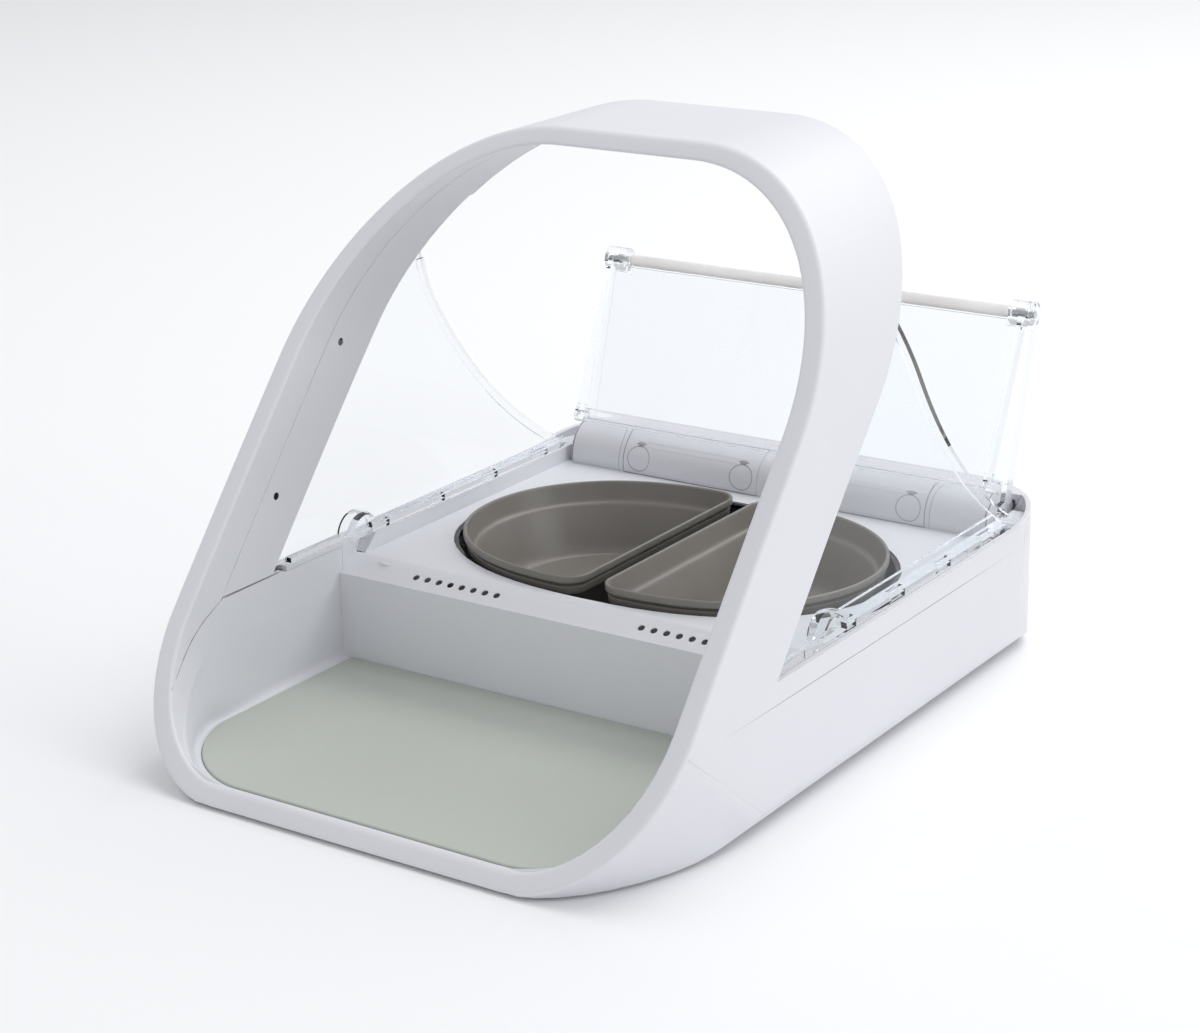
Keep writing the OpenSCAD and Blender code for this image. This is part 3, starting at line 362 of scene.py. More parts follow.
def material(name, color, roughness, **sockets):
    """A Principled material; each keyword names one of the shader's own sockets."""
    m = bpy.data.materials.new(name)
    m.use_nodes = True
    m.diffuse_color = (*color[:3], 1)
    p = m.node_tree.nodes["Principled BSDF"]
    p.inputs["Base Color"].default_value = (*color[:3], 1)
    p.inputs["Roughness"].default_value = roughness
    for key, value in sockets.items():
        p.inputs[key.replace("_", " ")].default_value = value
    return m


def node(m, kind, **sockets):
    """A new shader node; each keyword names one of its sockets."""
    n = m.node_tree.nodes.new(kind)
    for key, value in sockets.items():
        n.inputs[key.replace("_", " ")].default_value = value
    return n


def mottle(m, scale, low, high, roughness=None, stretch=(1, 1, 1)):
    """Noise on Object coordinates shifts the colour between low and high times the base colour."""
    t = m.node_tree
    p = t.nodes["Principled BSDF"]
    base = p.inputs["Base Color"].default_value[:3]
    where = node(m, "ShaderNodeTexCoord")
    place = node(m, "ShaderNodeMapping", Scale=stretch)
    noise = node(m, "ShaderNodeTexNoise", Scale=scale, Detail=3.0, Roughness=0.55)
    ramp = node(m, "ShaderNodeValToRGB")
    ramp.color_ramp.elements[0].position = 0.3
    ramp.color_ramp.elements[1].position = 0.7
    ramp.color_ramp.elements[0].color = (*[min(1, c * low) for c in base], 1)
    ramp.color_ramp.elements[1].color = (*[min(1, c * high) for c in base], 1)
    t.links.new(where.outputs["Object"], place.inputs["Vector"])
    t.links.new(place.outputs[0], noise.inputs["Vector"])
    t.links.new(noise.outputs["Fac"], ramp.inputs["Fac"])
    t.links.new(ramp.outputs["Color"], p.inputs["Base Color"])
    if roughness:
        span = node(m, "ShaderNodeMapRange")
        span.inputs["To Min"].default_value, span.inputs["To Max"].default_value = roughness
        t.links.new(noise.outputs["Fac"], span.inputs["Value"])
        t.links.new(span.outputs[0], p.inputs["Roughness"])
    return m


def grain(m, scale, strength, distance, stretch=(1, 1, 1)):
    """A fine moulded texture on Object coordinates that only tilts the surface."""
    t = m.node_tree
    where = node(m, "ShaderNodeTexCoord")
    place = node(m, "ShaderNodeMapping", Scale=stretch)
    tex = node(m, "ShaderNodeTexNoise", Scale=scale)
    bump = node(m, "ShaderNodeBump", Strength=strength, Distance=distance)
    t.links.new(where.outputs["Object"], place.inputs["Vector"])
    t.links.new(place.outputs[0], tex.inputs["Vector"])
    t.links.new(tex.outputs["Fac"], bump.inputs["Height"])
    t.links.new(bump.outputs["Normal"], t.nodes["Principled BSDF"].inputs["Normal"])
    return m


def see_through(m, shade):
    """Lets lamps shine through clear plastic: rays that test for shadow meet a pale filter."""
    t = m.node_tree
    path = node(m, "ShaderNodeLightPath")
    clear = node(m, "ShaderNodeBsdfTransparent", Color=(*shade, 1))
    mix = node(m, "ShaderNodeMixShader")
    t.links.new(path.outputs["Is Shadow Ray"], mix.inputs["Fac"])
    t.links.new(t.nodes["Principled BSDF"].outputs[0], mix.inputs[1])
    t.links.new(clear.outputs[0], mix.inputs[2])
    t.links.new(mix.outputs[0], t.nodes["Material Output"].inputs["Surface"])
    return m


def make_finishes():
    """Every finish of the feeder by the name of its material slot."""
    s = bpy.context.scene
    body, bowls, lid = s.feeder_body, s.feeder_bowls, s.feeder_lid
    f = {}
    f["white_shell"] = grain(mottle(
        material("satin white ABS", body.white, 0.38, Specular_IOR_Level=0.45),
        14, 0.985, 1.01, (0.34, 0.42)), 2600, 0.05, 0.00004)
    f["clear_panel"] = see_through(mottle(material(
        "clear polycarbonate", lid.clear, 0.02, Transmission_Weight=1.0, IOR=1.19),
        9, 0.985, 1.0), (0.93, 0.94, 0.95))
    f["soft_seal"] = grain(mottle(material(
        "soft clear rubber", lid.seal, 0.42, Transmission_Weight=0.6, IOR=1.15),
        60, 0.92, 1.05, (0.36, 0.5)), 1800, 0.1, 0.00005)
    f["clear_seal"] = see_through(mottle(material(
        "clear lip rubber", (0.97, 0.97, 0.98), 0.16, Transmission_Weight=1.0, IOR=1.22),
        40, 0.97, 1.0, (0.12, 0.22)), (0.9, 0.9, 0.91))
    f["bowl_grey"] = grain(mottle(
        material("satin grey bowl plastic", bowls.grey, 0.34, Specular_IOR_Level=0.5),
        22, 0.93, 1.06, (0.30, 0.42)), 2200, 0.06, 0.00004)
    f["black_plastic"] = grain(mottle(
        material("glossy black plastic", bowls.black, 0.16, Specular_IOR_Level=0.5),
        30, 0.8, 1.2, (0.12, 0.22)), 1500, 0.03, 0.00003)
    f["mat_green"] = grain(mottle(material(
        "soft green grey rubber", bowls.mat, 0.55, Specular_IOR_Level=0.35,
        Subsurface_Weight=0.12, Subsurface_Scale=0.002),
        10, 0.975, 1.015, (0.5, 0.6)), 2400, 0.10, 0.00005)
    f["dark_plastic"] = grain(mottle(
        material("dark grey nylon", (0.055, 0.055, 0.06), 0.5), 40, 0.8, 1.15, (0.42, 0.56)),
        1800, 0.12, 0.00005)
    f["dark_lens"] = mottle(
        material("smoked lens", (0.018, 0.008, 0.010), 0.08, Coat_Weight=0.4),
        120, 0.7, 1.3, (0.05, 0.12))
    f["copper_coil"] = grain(mottle(
        material("enamelled copper wire", (0.72, 0.34, 0.14), 0.3, Metallic=1.0), 90, 0.85, 1.1,
        (0.24, 0.38)), 1400, 0.5, 0.0002, stretch=(0.05, 0.05, 1))
    f["circuit_board"] = mottle(
        material("green solder mask", (0.02, 0.13, 0.06), 0.32, Coat_Weight=0.3), 240, 0.75, 1.25,
        (0.26, 0.40), stretch=(1, 1, 2))
    f["cell_case"] = mottle(
        material("printed cell sleeve", (0.05, 0.12, 0.09), 0.3, Coat_Weight=0.5), 30, 0.85, 1.1,
        (0.22, 0.34))
    f["cell_metal"] = brushed("nickelled cell end", (0.72, 0.71, 0.69), 0.25)
    f["steel"] = brushed("ground steel", (0.62, 0.62, 0.63), 0.28)
    f["bracket_metal"] = brushed("zinc plate", (0.66, 0.68, 0.72), 0.36)
    f["contact_metal"] = brushed("spring contact", (0.74, 0.73, 0.70), 0.24)
    f["pinion_brass"] = brushed("cut brass", (0.78, 0.58, 0.26), 0.26)
    f["black_rubber"] = grain(mottle(
        material("foot rubber", (0.03, 0.03, 0.032), 0.7), 70, 0.8, 1.2, (0.62, 0.78)),
        1200, 0.2, 0.0001)
    f["gear_plastic"] = mottle(
        material("natural acetal", (0.78, 0.74, 0.64), 0.35, Subsurface_Weight=0.1,
                 Subsurface_Scale=0.001), 50, 0.94, 1.03, (0.3, 0.42))
    f["button_grey"] = grain(mottle(
        material("pale grey button", (0.62, 0.62, 0.65), 0.42), 40, 0.95, 1.03, (0.38, 0.48)),
        1800, 0.08, 0.00004)
    f["seam"] = mottle(
        material("shadow in a seam", body.line, 0.7, Specular_IOR_Level=0.1), 60, 0.85, 1.15)
    f["soft_line"] = mottle(
        material("shade in a fine groove", (0.42, 0.40, 0.44), 0.7, Specular_IOR_Level=0.1),
        60, 0.9, 1.1)
    return f


def brushed(name, color, roughness):
    """Metal with fine drawn lines along X."""
    return grain(mottle(material(name, color, roughness, Metallic=1.0), 300, 0.9, 1.08,
                        (roughness - 0.06, roughness + 0.1), stretch=(0.04, 1, 1)),
                 1500, 0.15, 0.00004, stretch=(0.03, 1, 1))


FINISHES = {}


def finish(slot):
    """The finish of a slot; the first call makes them all."""
    if not FINISHES:
        FINISHES.update(make_finishes())
    return FINISHES[slot]


# ---------------------------------------------------------------- pieces

class FEEDER_OT_finishes(bpy.types.Operator):
    """Give every CAD node the finish of its material slot"""

    bl_idname = "feeder.finishes"
    bl_label = "Finishes"

    def execute(self, context):
        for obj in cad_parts.values():
            for i, old in enumerate(obj.material_slots):
                obj.material_slots[i].material = finish(old.material.name.split(".")[0])
        return {"FINISHED"}


def rim_outlines(p, tri, depth):
    """The rim's outer and inner outline in x and z, where the face is met at a depth behind it.

    Each triangle that the surface y = front(z) + depth cuts gives one segment. A ray from the middle
    of the arch at angle t meets some of them at r = u . (q + m e), m = -(u x q) / (u x e): its
    farthest crossing lies on the outer outline and its nearest on the inner one.
    """
    d = p[:, 1] - front(p[:, 2]) - depth
    behind = d[tri] > 0
    cut = behind.any(1) & ~behind.all(1)
    tri, behind = tri[cut], behind[cut]
    k = np.where(behind.sum(1) == 1, behind.argmax(1), behind.argmin(1))
    rows = np.arange(len(tri))
    a, b, c = (tri[rows, (k + i) % 3] for i in range(3))
    flat = p[:, [0, 2]] - RIM_MIDDLE
    q = flat[a] + (flat[b] - flat[a]) * (d[a] / (d[a] - d[b]))[:, None]
    e = flat[a] + (flat[c] - flat[a]) * (d[a] / (d[a] - d[c]))[:, None] - q
    u = np.stack([np.sin(RAYS), np.cos(RAYS)], -1)
    cross = u[:, :1] * e[:, 1] - u[:, 1:] * e[:, 0]
    m = -(u[:, :1] * q[:, 1] - u[:, 1:] * q[:, 0]) / np.where(np.abs(cross) < 1e-9, np.nan, cross)
    r = u @ q.T + m * (u @ e.T)
    good = (m > -1e-6) & (m < 1 + 1e-6) & (r > 0)
    far = np.where(good, r, -np.inf).max(1)
    near = np.where(good, r, np.inf).min(1)
    return u * far[:, None] + RIM_MIDDLE, u * near[:, None] + RIM_MIDDLE


def rim_band(mesh, radius, material_):
    """The front rim as a closed ring whose section has two rounded corners of the given radius.

    A point is set in from an outline by radius (1 - cos t) and lies radius (1 - sin t) behind the
    face; the outline itself is a straight blend of those at FIRST and LAST behind the face.
    """
    FIRST, LAST = 0.1, RIM_BACK - 0.05
    p, tri = points_mm(mesh), triangles(mesh)
    first, last = rim_outlines(p, tri, FIRST), rim_outlines(p, tri, LAST)
    t = np.radians(np.linspace(0, 90, 8))
    inset = np.concatenate([[-0.02], radius * (1 - np.cos(t))])
    depth = np.concatenate([[RIM_BACK], radius * (1 - np.sin(t))])
    sides = []
    for a, b, sign in ((first[0], last[0], -1), (first[1], last[1], 1)):
        along = np.roll(a, -2, 0) - np.roll(a, 2, 0)
        out = np.stack([along[:, 1], -along[:, 0]], -1)
        out /= np.linalg.norm(out, axis=1, keepdims=True)
        out *= np.sign((out * (a - RIM_MIDDLE)).sum(1, keepdims=True))
        xz = a[:, None] + (b - a)[:, None] * ((depth - FIRST) / (LAST - FIRST))[None, :, None]
        xz = xz + sign * out[:, None] * inset[None, :, None]
        sides.append(np.stack([xz[..., 0], front(xz[..., 1]) + depth, xz[..., 1]], -1))
    rings = np.concatenate([sides[0], sides[1][:, ::-1]], 1)
    return loft("rim_band", rings, False, material_, "feeder", close_rows=True)


def behind_rim(mesh):
    """The shell without its front end: the face is straightened, cut by a plane, and bent back."""
    p = points_mm(mesh)
    p[:, 1] -= front(p[:, 2])
    move_points(mesh, p)
    bm = bmesh.new()
    bm.from_mesh(mesh)
    cut = bmesh.ops.bisect_plane(
        bm, geom=everything(bm), dist=1e-7, plane_co=(0, RIM_TRIM / 1000, 0), plane_no=(0, 1, 0),
        clear_inner=True)["geom_cut"]
    bmesh.ops.triangle_fill(
        bm, use_beauty=True, edges=[e for e in cut if isinstance(e, bmesh.types.BMEdge)])
    bm.to_mesh(mesh)
    bm.free()
    p = points_mm(mesh)
    p[:, 1] += front(p[:, 2])
    move_points(mesh, p)
    return mesh


def smooth_nose(mesh):
    """Puts the first strip of the rounded nose on its true cylinder.

    With t the angle down from the flat side, the side is drawn in by r (1 - cos t) where the height
    up the face is r (1 - sin t); planes across the cylinder first give the strip enough edges.
    """
    c, s = math.cos(FACE_LEAN), math.sin(FACE_LEAN)
    bm = bmesh.new()
    bm.from_mesh(mesh)
    for t in NOSE_STEPS:
        up = SIDE_R * (1 - math.sin(math.radians(t))) + SIDE_Z
        bmesh.ops.bisect_plane(bm, geom=everything(bm), dist=1e-7, plane_no=(0, s, c),
                               plane_co=(0, (FRONT_Y + up / (s * c)) / 1000, 0))
    bm.to_mesh(mesh)
    bm.free()
    p = points_mm(mesh)
    up = s * c * (p[:, 1] - FRONT_Y) + c * c * p[:, 2] - SIDE_Z
    rest = SIDE_R - np.clip(up, 0, SIDE_R)
    x = HALF_W - SIDE_R + np.sqrt(SIDE_R ** 2 - rest ** 2)
    over = np.abs(p[:, 0]) - x
    strip = (rest > 0) & (rest < SIDE_R * math.sin(math.radians(NOSE_STRIP)))
    near = strip & (over > -0.2) & (over < 0.7)
    p[:, 0] = np.where(near, np.sign(p[:, 0]) * x, p[:, 0])
    move_points(mesh, p)
    return mesh


def shell_weight(a, b):
    """Full share for edges above the side walls and behind the rim, none for the rest."""
    wall_top, gap = 54, 0.4

    def free(p):
        return (p[:, 2] > wall_top) & (p[:, 1] - front(p[:, 2]) > RIM_TRIM + gap)
    return np.where(free(a) & free(b), 1.0, 0.0)


class FEEDER_OT_shell(bpy.types.Operator):
    """Make the white mouldings with rounded edges"""

    bl_idname = "feeder.shell"
    bl_label = "White mouldings"

    def execute(self, context):
        s = context.scene.feeder_body
        white = finish("white_shell")
        whole = smooth_nose(joined(["base_tub", "upper_housing"]))
        rim_band(whole, s.edge * 1000, white)
        softened("outer_shell", ["base_tub", "upper_housing"], white, "feeder",
                 0.00035, shell_weight, behind_rim(whole))
        for n in ("arch_liner", "deck_panel", "barrel_shell", "barrel_cover_left",
                  "barrel_cover_right", "cover_screw_caps"):
            softened(n + "_soft", [n], white, "feeder", s.small_edge * 0.6)
        return {"FINISHED"}


def bowl_ring(g, z, n=96, m=10):
    """The right bowl's half-oval outline, grown by g, at height z.

    The oval side has x = x0 + r + (a - r + g) cos(t)^0.86 and y = y0 + b sin(t), and a quarter
    circle of radius r at each end closes it to the flat side at x0.
    """
    t = np.radians(np.linspace(-90, 90, n + 1))
    c = np.clip(np.cos(t), 0, None) ** 0.86
    k = np.radians(90 * np.arange(1, m + 1) / m)
    k2 = k[:-1] - k[0]
    a, b, r, x0 = 83 + g, 59 + g, max(9 + g, 2), 4.5 - g
    x = np.concatenate([(a - r + g) * c, -r * np.sin(k), -r * np.cos(k2)]) + x0 + r
    y = np.concatenate([b * np.sin(t), b - r + r * np.cos(k), -b + r - r * np.sin(k2)]) + BOWL_Y
    return np.stack([x, y, np.full_like(x, z)], -1)


class FEEDER_OT_bowls(bpy.types.Operator):
    """Make the two bowls"""

    bl_idname = "feeder.bowls"
    bl_label = "Bowls"

    def execute(self, context):
        rings = np.stack([bowl_ring(g, z) for g, z in rounded(BOWL_SECTION, BOWL_ROUND, 4)])
        for side, name in ((1, "bowl_right"), (-1, "bowl_left")):
            obj = loft(name + "_satin", rings * (side, 1, 1), True, finish("bowl_grey"),
                       "bowl_r" if side > 0 else "bowl_l")
            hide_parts(name)
        return {"FINISHED"}


BEFORE_CORNER = 7


def mat_edge(n=34):
    """Plan of the mat's right half from the middle of its front edge to its rear corner.

    The front corner, of n points, has x = h - a + a cos(t)^1.2 and y = f + b - b sin(-t)^1.2.
    """
    a, b = MAT_CORNER
    t = np.radians(np.linspace(-90, 0, n))
    corner = np.stack([MAT_HALF - a + a * np.cos(t) ** 1.2,
                       MAT_FRONT + b - b * np.abs(np.sin(t)) ** 1.2], -1)
    front_part = np.stack([np.linspace(0, MAT_HALF - a, BEFORE_CORNER + 1)[:-1],
                           np.full(BEFORE_CORNER, MAT_FRONT)], -1)
    side = np.stack([np.full(14, MAT_HALF), np.linspace(corner[-1, 1], MAT_BACK, 15)[1:]], -1)
    return np.vstack([front_part, corner, side])


def outward(path):
    """Unit vectors square to a plan path that runs forward with its outside on the right."""
    along = np.gradient(path, axis=0)
    out = np.stack([along[:, 1], -along[:, 0]], -1)
    return out / np.linalg.norm(out, axis=1, keepdims=True)


def nose_inset(y, z):
    """How far the entry's wall is drawn in at depth y and height z, on a cylinder of radius NOSE_R.

    The cylinder stands square on the leaning front face, so only the height up the face counts.
    """
    c, s = math.cos(FACE_LEAN), math.sin(FACE_LEAN)
    up = np.clip(s * c * (y - FRONT_Y) + c * c * z - NOSE_Z, 0, NOSE_R)
    return NOSE_R - np.sqrt(NOSE_R ** 2 - (NOSE_R - up) ** 2)


class FEEDER_OT_mat(bpy.types.Operator):
    """Make the soft mat in the entry"""

    bl_idname = "feeder.mat"
    bl_label = "Mat"

    def execute(self, context):
        half = mat_edge()
        half[-1] -= 0.4
        plan = np.vstack([half, half[:0:-1] * (-1, 1)])
        out = outward(half)
        out = np.vstack([out, out[:0:-1] * (-1, 1)])
        rings = np.stack([np.column_stack([plan - out * t, np.full(len(plan), z)])
                          for t, z in rounded(MAT_SECTION, [0.3, 0.8], 5)])
        mat = loft("entry_mat", rings, True, finish("mat_green"), "mat")
        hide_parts("floor_mat")
        return {"FINISHED"}


def reach(path, out, z):
    """Distance from each plan point along its outward vector to the entry's wall at each height z."""
    d = np.linspace(0, 14, 281)
    x = path[:, None, None, 0] + d * out[:, None, None, 0]
    y = path[:, None, None, 1] + d * out[:, None, None, 1]
    free = ENTRY_W - nose_inset(y, z[..., None]) - x
    return d[np.argmax(free < 0, -1)]


def fillet_rings():
    """Rings of the right half: a foot under the mat, the fillet's face, and its hidden back.

    The face lies outside the mat's edge by w sqrt(1 - (1 - h / r)^2), with h the height over the
    foot and w the smooth maximum of the way to the wall and a recess that widens round the corner.
    Smooth maximum of a and b: (a + b + sqrt((a - b)^2 + k^2) - k) / 2, with k zero at both ends.
    """
    path = mat_edge()
    out = outward(path)
    turn = np.clip(np.arange(len(path)) - BEFORE_CORNER + 1, 0, 34) / 34
    recess = 2.25 + 1.1 * np.clip(turn * 1.6, 0, 1) + 1.15 * np.sin(np.pi * turn)
    depth = path[:, 1] - FRONT_Y
    top = np.clip(FILLET_TOP[0] + 0.62 * np.clip(depth - 10, 0, None), *FILLET_TOP)
    v = np.linspace(0, 1, 30)
    z = FILLET_BASE + (top - FILLET_BASE)[:, None] * v[None, :] ** 1.4
    room = (path[:, 1:] - front(z) - 1.6) / np.clip(-out[:, 1:], 0.05, None)
    b = np.minimum(reach(path, out, z), room)
    a = np.broadcast_to(recess[:, None], b.shape)
    k = 7.0 * np.sin(np.pi * v)[None, :] * np.clip((top - 9) / 8, 0, 1)[:, None]
    w = (a + b + np.sqrt((a - b) ** 2 + k ** 2) - k) / 2 - 0.05
    h = np.clip((z - FILLET_BASE) / np.minimum(FILLET_R, top - FILLET_BASE)[:, None], 0, 1)
    w = np.minimum(w, room) * np.sqrt(1 - (1 - h) ** 2)
    face = np.stack([path[:, None, 0] + w * out[:, None, 0],
                     path[:, None, 1] + w * out[:, None, 1], z], -1)
    back = face[:, ::-1] + np.concatenate([out * 0.5, np.full((len(out), 1), -0.35)], 1)[:, None]
    foot = np.concatenate([path, np.full((len(path), 1), 5.1)], 1)[:, None]
    return np.concatenate([foot, face, back], 1)


class FEEDER_OT_skirt(bpy.types.Operator):
    """Make the small fillet between the entry's walls and the mat"""

    bl_idname = "feeder.skirt"
    bl_label = "Entry fillet"

    def execute(self, context):
        rings = fillet_rings()
        rings = np.concatenate([rings[::-1] * (-1, 1, 1), rings[1:]])
        loft("entry_fillet", rings, True, finish("white_shell"), "feeder")
        return {"FINISHED"}


def ribbon(name, path, normal, width, material_, fade=0.15):
    """A thin raised line along a path on a surface, pointed at both ends.

    Its section has two feet at half the width to each side, sunk 0.05 mm, a flat crown of half the
    width, 0.03 mm proud, and a keel 0.12 mm deep; fade is the share of the length in which each end
    narrows as a sine.
    """
    path = np.asarray(path, float)
    normal = np.broadcast_to(np.asarray(normal, float), path.shape)
    along = np.gradient(path, axis=0)
    side = np.cross(normal, along)
    side /= np.linalg.norm(side, axis=1, keepdims=True)
    s = np.linspace(0, 1, len(path))
    wide = np.ones((len(path), 1))
    if fade:
        wide = np.sin(np.pi / 2 * np.clip(np.minimum(s, 1 - s) / fade, 0.08, 1))[:, None]
    half = side * wide * width / 2
    crown = normal * 0.03 * wide
    rings = np.stack([path + half - normal * 0.05, path + half * 0.5 + crown,
                      path - half * 0.5 + crown, path - half - normal * 0.05,
                      path - normal * 0.12], 1)
    return loft(name, rings, True, material_, "feeder", smooth=math.radians(60))


def smooth_path(points, n, radius=1.0):
    """Points evenly spaced along a polyline with rounded corners."""
    p = rounded(points, radius, 6)
    s = np.concatenate([[0], np.cumsum(np.linalg.norm(np.diff(p, axis=0), axis=1))])
    t = np.linspace(0, s[-1], n)
    return np.stack([np.interp(t, s, p[:, i]) for i in range(p.shape[1])], -1)


def points_at(x, y, z):
    """Points from three coordinates, each one number or one row of them."""
    return np.stack(np.broadcast_arrays(np.asarray(x, float), y, z), -1)


class FEEDER_OT_seams(bpy.types.Operator):
    """Make the thin dark lines where mouldings meet: painted shade of the narrow gaps between them"""

    bl_idname = "feeder.seams"
    bl_label = "Seams"

    def execute(self, context):
        dark = finish("seam")
        y, z = smooth_path(ENTRY_SEAM, 40, 3).T
        y = FRONT_Y + y
        x = ENTRY_W - nose_inset(y, z) - 0.09
        flat_y, flat_z = smooth_path(WALL_SEAM, 12).T
        outer = np.linspace(FRONT_Y + OUTER_SEAM[0], FRONT_Y + OUTER_SEAM[1], 60)
        for side, name in ((1, "right"), (-1, "left")):
            inward = (-side, 0, 0)
            ribbon("entry_seam_" + name, points_at(side * x, y, z), inward, 0.5, dark, 0.5)
            ribbon("wall_seam_" + name, points_at(side * (ENTRY_W - 0.01), FRONT_Y + flat_y, flat_z),
                   inward, 0.45, dark, 0.1)
            ribbon("outer_seam_" + name, points_at(side * (HALF_W + 0.01), outer, SEAM_Z),
                   (side, 0, 0), 0.34, dark, 0.3)
        return {"FINISHED"}


def on_barrel(x, turn, lift=0.0):
    """Points on the half-round housing: turn is degrees from its front foot up and over."""
    a = np.radians(np.asarray(turn, float))
    r = BARREL_R + lift
    return points_at(x, SHAFT_Y - r * np.cos(a), SHAFT_Z + r * np.sin(a))


def off_barrel(points):
    """The direction away from the shaft's axis at each point."""
    return (points - (0, SHAFT_Y, SHAFT_Z)) * (0, 1, 1) / BARREL_R


class FEEDER_OT_barrel_lines(bpy.types.Operator):
    """Make the fine lines at the covers and caps of the half-round housing: painted shade in their
    grooves and gaps
    """

    bl_idname = "feeder.barrel_lines"
    bl_label = "Lines on the lid's housing"

    def execute(self, context):
        dark, grey = finish("seam"), finish("soft_line")
        turn = np.linspace(-15, 78, 40)
        flare = np.clip((turn - 40) / 38, 0, 1) ** 2
        end_turn = np.linspace(-15, 95, 40)
        foot = np.linspace(5.5, 71.4, 30)
        around = np.radians(np.linspace(0, 360, 49))
        ring_turn = CAP_TURN + np.degrees(CAP_R * np.sin(around) / BARREL_R)
        notch_x = np.linspace(-2.6, 2.6, 12)
        notch_turn = CAP_TURN + np.degrees(6.5 / BARREL_R)
        for side, name in ((1, "right"), (-1, "left")):
            for x, bend, width, tag, mat in ((71.2, 1.2, 0.4, "edge", dark),
                                             (73.4, 2.2, 0.34, "groove", grey)):
                ribbon(f"cover_{tag}_{name}", on_barrel(side * (x + bend * flare), turn, 0.01),
                       off_barrel(on_barrel(0, turn)), width, mat, 0.12)
            ribbon("barrel_end_" + name, on_barrel(side * 97.3, end_turn, 0.01),
                   off_barrel(on_barrel(0, end_turn)), 0.7, dark, 0.1)
            ribbon("cover_foot_" + name, points_at(side * foot, SHAFT_Y - 12.82, 46.7),
                   (0, -0.8, 0.6), 1.0, dark, 0.02)
            for x in CAPS:
                ring = on_barrel(side * x + CAP_R * np.cos(around), ring_turn)
                ribbon(f"cap_ring_{name}_{int(x)}", ring, off_barrel(ring), 0.42, grey, 0)
                # The notch mark is painted shade, a small dark arc above each cap ring.
                notch = on_barrel(side * x + notch_x, notch_turn, 0.05)
                ribbon(f"cap_notch_{name}_{int(x)}", notch, off_barrel(notch), 1.5, grey, 0.4)
        return {"FINISHED"}


def tube(name, profile, x0, x1, leaf, material_, body, taper=0.6):
    """A profile carried along X on a leaf of the lid, its last ends drawn in as a rounded tip."""
    p = np.asarray(profile, float)
    mid = p.mean(0)
    x = np.array([x0, x0 + 0.3 * taper, x0 + taper, x1 - taper, x1 - 0.3 * taper, x1])
    s = np.array([0.55, 0.85, 1, 1, 0.85, 0.55])
    rings = mid + (p - mid)[None] * s[:, None, None]
    pts = np.concatenate([np.broadcast_to(x[:, None, None], (*rings.shape[:2], 1)), rings], -1)
    return loft(name, lid_frame(pts, leaf), True, material_, body)


class FEEDER_OT_seals(bpy.types.Operator):
    """Make the soft seals of the lid"""

    bl_idname = "feeder.seals"
    bl_label = "Seals"

    def execute(self, context):
        soft = finish("soft_seal")
        a = np.radians(np.arange(0, 360, 10))
        radius, fold_x, lip_x = 2.35, 89.6, 95.0
        bead = np.stack([radius * np.cos(a), LEAF_1 + radius * np.sin(a)], -1)
        fold = tube("fold_bead", bead, -fold_x, fold_x, 1, soft, "lid_rear")
        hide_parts("fold_seal")
        lip = tube("lip_bead", rounded(LIP, 0.4, 3)[:-1], -lip_x, lip_x, 2, finish("clear_seal"),
                   "lid_front", 0.4)
        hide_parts("lip_seal")
        return {"FINISHED"}


class FEEDER_OT_lid(bpy.types.Operator):
    """Make the clear leaves of the lid with polished edges"""

    bl_idname = "feeder.lid"
    bl_label = "Clear lid"

    def execute(self, context):
        s = context.scene.feeder_lid
        clear = finish("clear_panel")
        for n, body in (("lid_rear_leaf", "lid_rear"), ("lid_front_leaf", "lid_front")):
            softened(n + "_clear", [n], clear, body, s.edge)
        return {"FINISHED"}


# ---------------------------------------------------------------- stage

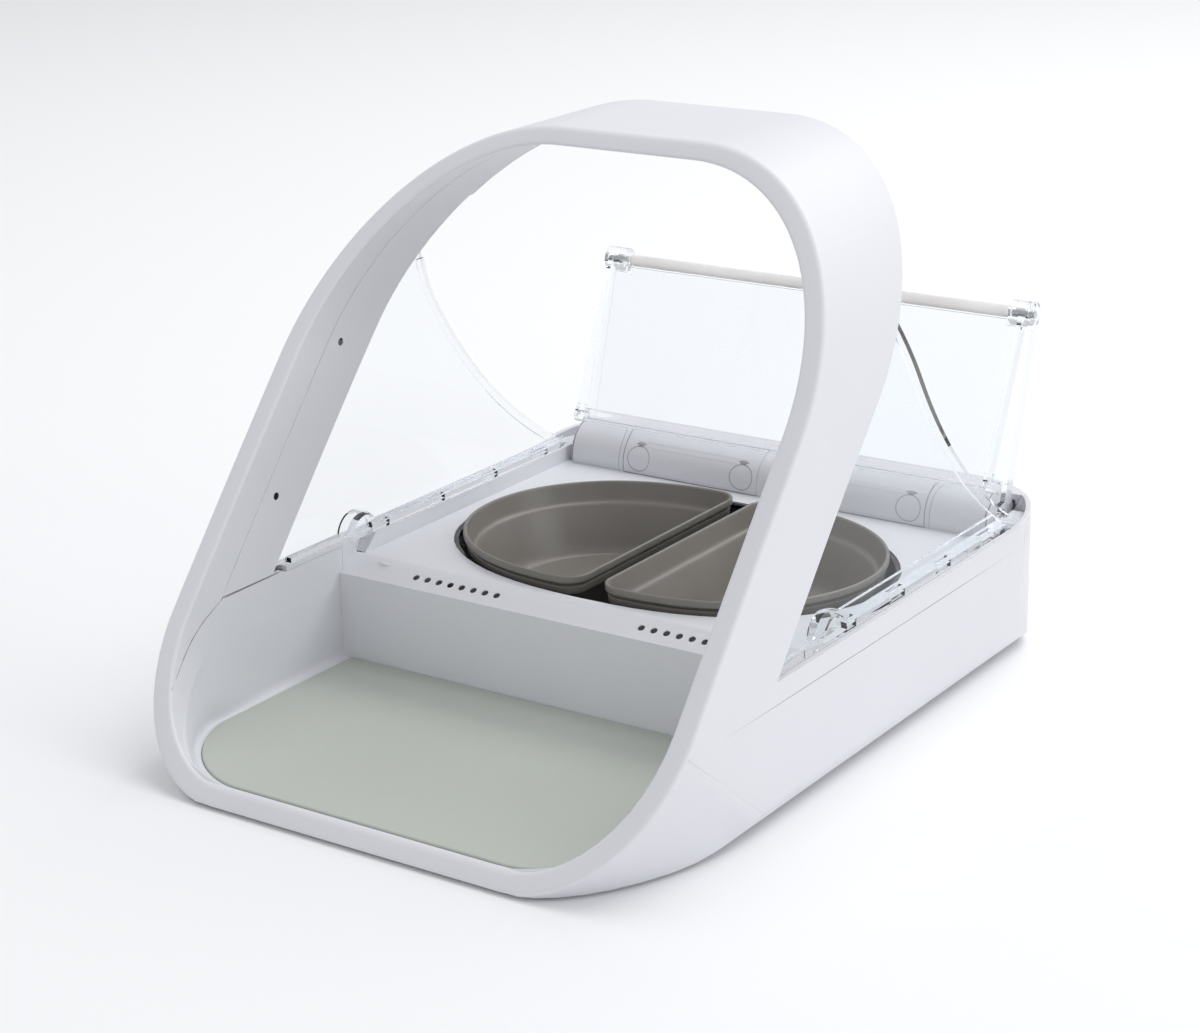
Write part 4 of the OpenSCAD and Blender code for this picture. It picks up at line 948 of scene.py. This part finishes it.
class FEEDER_OT_stage(bpy.types.Operator):
    """Make the pale floor, the soft studio light and the camera"""

    bl_idname = "feeder.stage"
    bl_label = "Floor, light and camera"

    def execute(self, context):
        s, scene = context.scene.feeder_stage, context.scene
        scene.view_settings.view_transform = "Standard"
        self.make_floor(scene)
        self.make_light(scene, s)
        self.make_camera(scene)
        return {"FINISHED"}

    def make_floor(self, scene):
        """One large pale face at the height of the feet."""
        floor = bpy.data.meshes.new("floor")
        floor.from_pydata([(-6, -6, 0), (6, -6, 0), (6, 14, 0), (-6, 14, 0)], [], [(0, 1, 2, 3)])
        floor.materials.append(mottle(material("pale floor", (0.92, 0.92, 0.93), 0.6,
                                               Specular_IOR_Level=0.2), 2, 0.995, 1.0))
        floor_obj = bpy.data.objects.new("floor", floor)
        scene.collection.objects.link(floor_obj)

    def make_light(self, scene, s):
        """An even surround with one large lamp above and one to the right."""
        world = bpy.data.worlds.new("studio")
        scene.world = world
        world.use_nodes = True
        world.node_tree.nodes["Background"].inputs[0].default_value = (0.97, 0.98, 1.0, 1)
        world.node_tree.nodes["Background"].inputs[1].default_value = s.sky
        for name, place, aim, size, power, color in (
                ("key", (0.35, 1.2, 2.1), (0, 0, 0), 2.0, s.key, (1, 1, 1)),
                ("side", (2.3, 0.3, 1.0), (0, 0, 0.1), 1.2, s.key * 0.27, (0.97, 0.98, 1))):
            lamp = bpy.data.lights.new(name, "AREA")
            lamp.shape, lamp.size, lamp.energy, lamp.color = "SQUARE", size, power, color
            obj = bpy.data.objects.new(name, lamp)
            obj.location = place
            obj.rotation_euler = (Vector(aim) - Vector(place)).to_track_quat("-Z", "Y").to_euler()
            scene.collection.objects.link(obj)

    def make_camera(self, scene):
        """The camera fitted to the photograph: a turns it left, e looks down and r rolls it."""
        camera = bpy.data.cameras.new("camera")
        camera.sensor_fit, camera.sensor_width, camera.lens = "HORIZONTAL", 36.0, 81.1527
        camera.clip_start, camera.clip_end = 0.05, 60
        a, e, r = 0.606267, 0.327874, -0.0235891
        fwd = Vector((-math.sin(a) * math.cos(e), math.cos(a) * math.cos(e), -math.sin(e)))
        right = Vector((math.cos(a), math.sin(a), 0))
        up = right.cross(fwd)
        right, up = math.cos(r) * right + math.sin(r) * up, math.cos(r) * up - math.sin(r) * right
        turn = Matrix((right, up, -fwd)).transposed()
        obj = bpy.data.objects.new("camera", camera)
        obj.matrix_world = Matrix.Translation((0.54285, -0.78743, 0.39832)) @ turn.to_4x4()
        scene.collection.objects.link(obj)
        scene.camera = obj


class FEEDER_PT_panel(bpy.types.Panel):
    """Lists the pieces in the order in which they are made"""

    bl_idname = "FEEDER_PT_panel"
    bl_label = "Pet feeder"
    bl_space_type = "VIEW_3D"
    bl_region_type = "UI"
    bl_category = "Feeder"

    def draw(self, context):
        for operator in ORDER:
            self.layout.operator(operator.bl_idname)
        for group in ("feeder_body", "feeder_bowls", "feeder_lid", "feeder_stage"):
            settings = getattr(context.scene, group)
            for key in settings.__annotations__:
                self.layout.prop(settings, key)


SETTINGS = {"feeder_body": BodySettings, "feeder_bowls": BowlSettings, "feeder_lid": LidSettings,
            "feeder_stage": StageSettings}
ORDER = (FEEDER_OT_stage, FEEDER_OT_finishes, FEEDER_OT_shell, FEEDER_OT_bowls, FEEDER_OT_mat,
         FEEDER_OT_skirt, FEEDER_OT_seams, FEEDER_OT_barrel_lines, FEEDER_OT_seals, FEEDER_OT_lid)


def register():
    for name, group in SETTINGS.items():
        bpy.utils.register_class(group)
        setattr(bpy.types.Scene, name, PointerProperty(type=group))
    for cls in (*ORDER, FEEDER_PT_panel):
        bpy.utils.register_class(cls)


def unregister():
    for cls in (FEEDER_PT_panel, *ORDER[::-1]):
        bpy.utils.unregister_class(cls)
    for name, group in SETTINGS.items():
        delattr(bpy.types.Scene, name)
        bpy.utils.unregister_class(group)


def main():
    register()
    for operator in ORDER:
        group, name = operator.bl_idname.split(".")
        getattr(getattr(bpy.ops, group), name)()


if __name__ == "__main__":
    main()
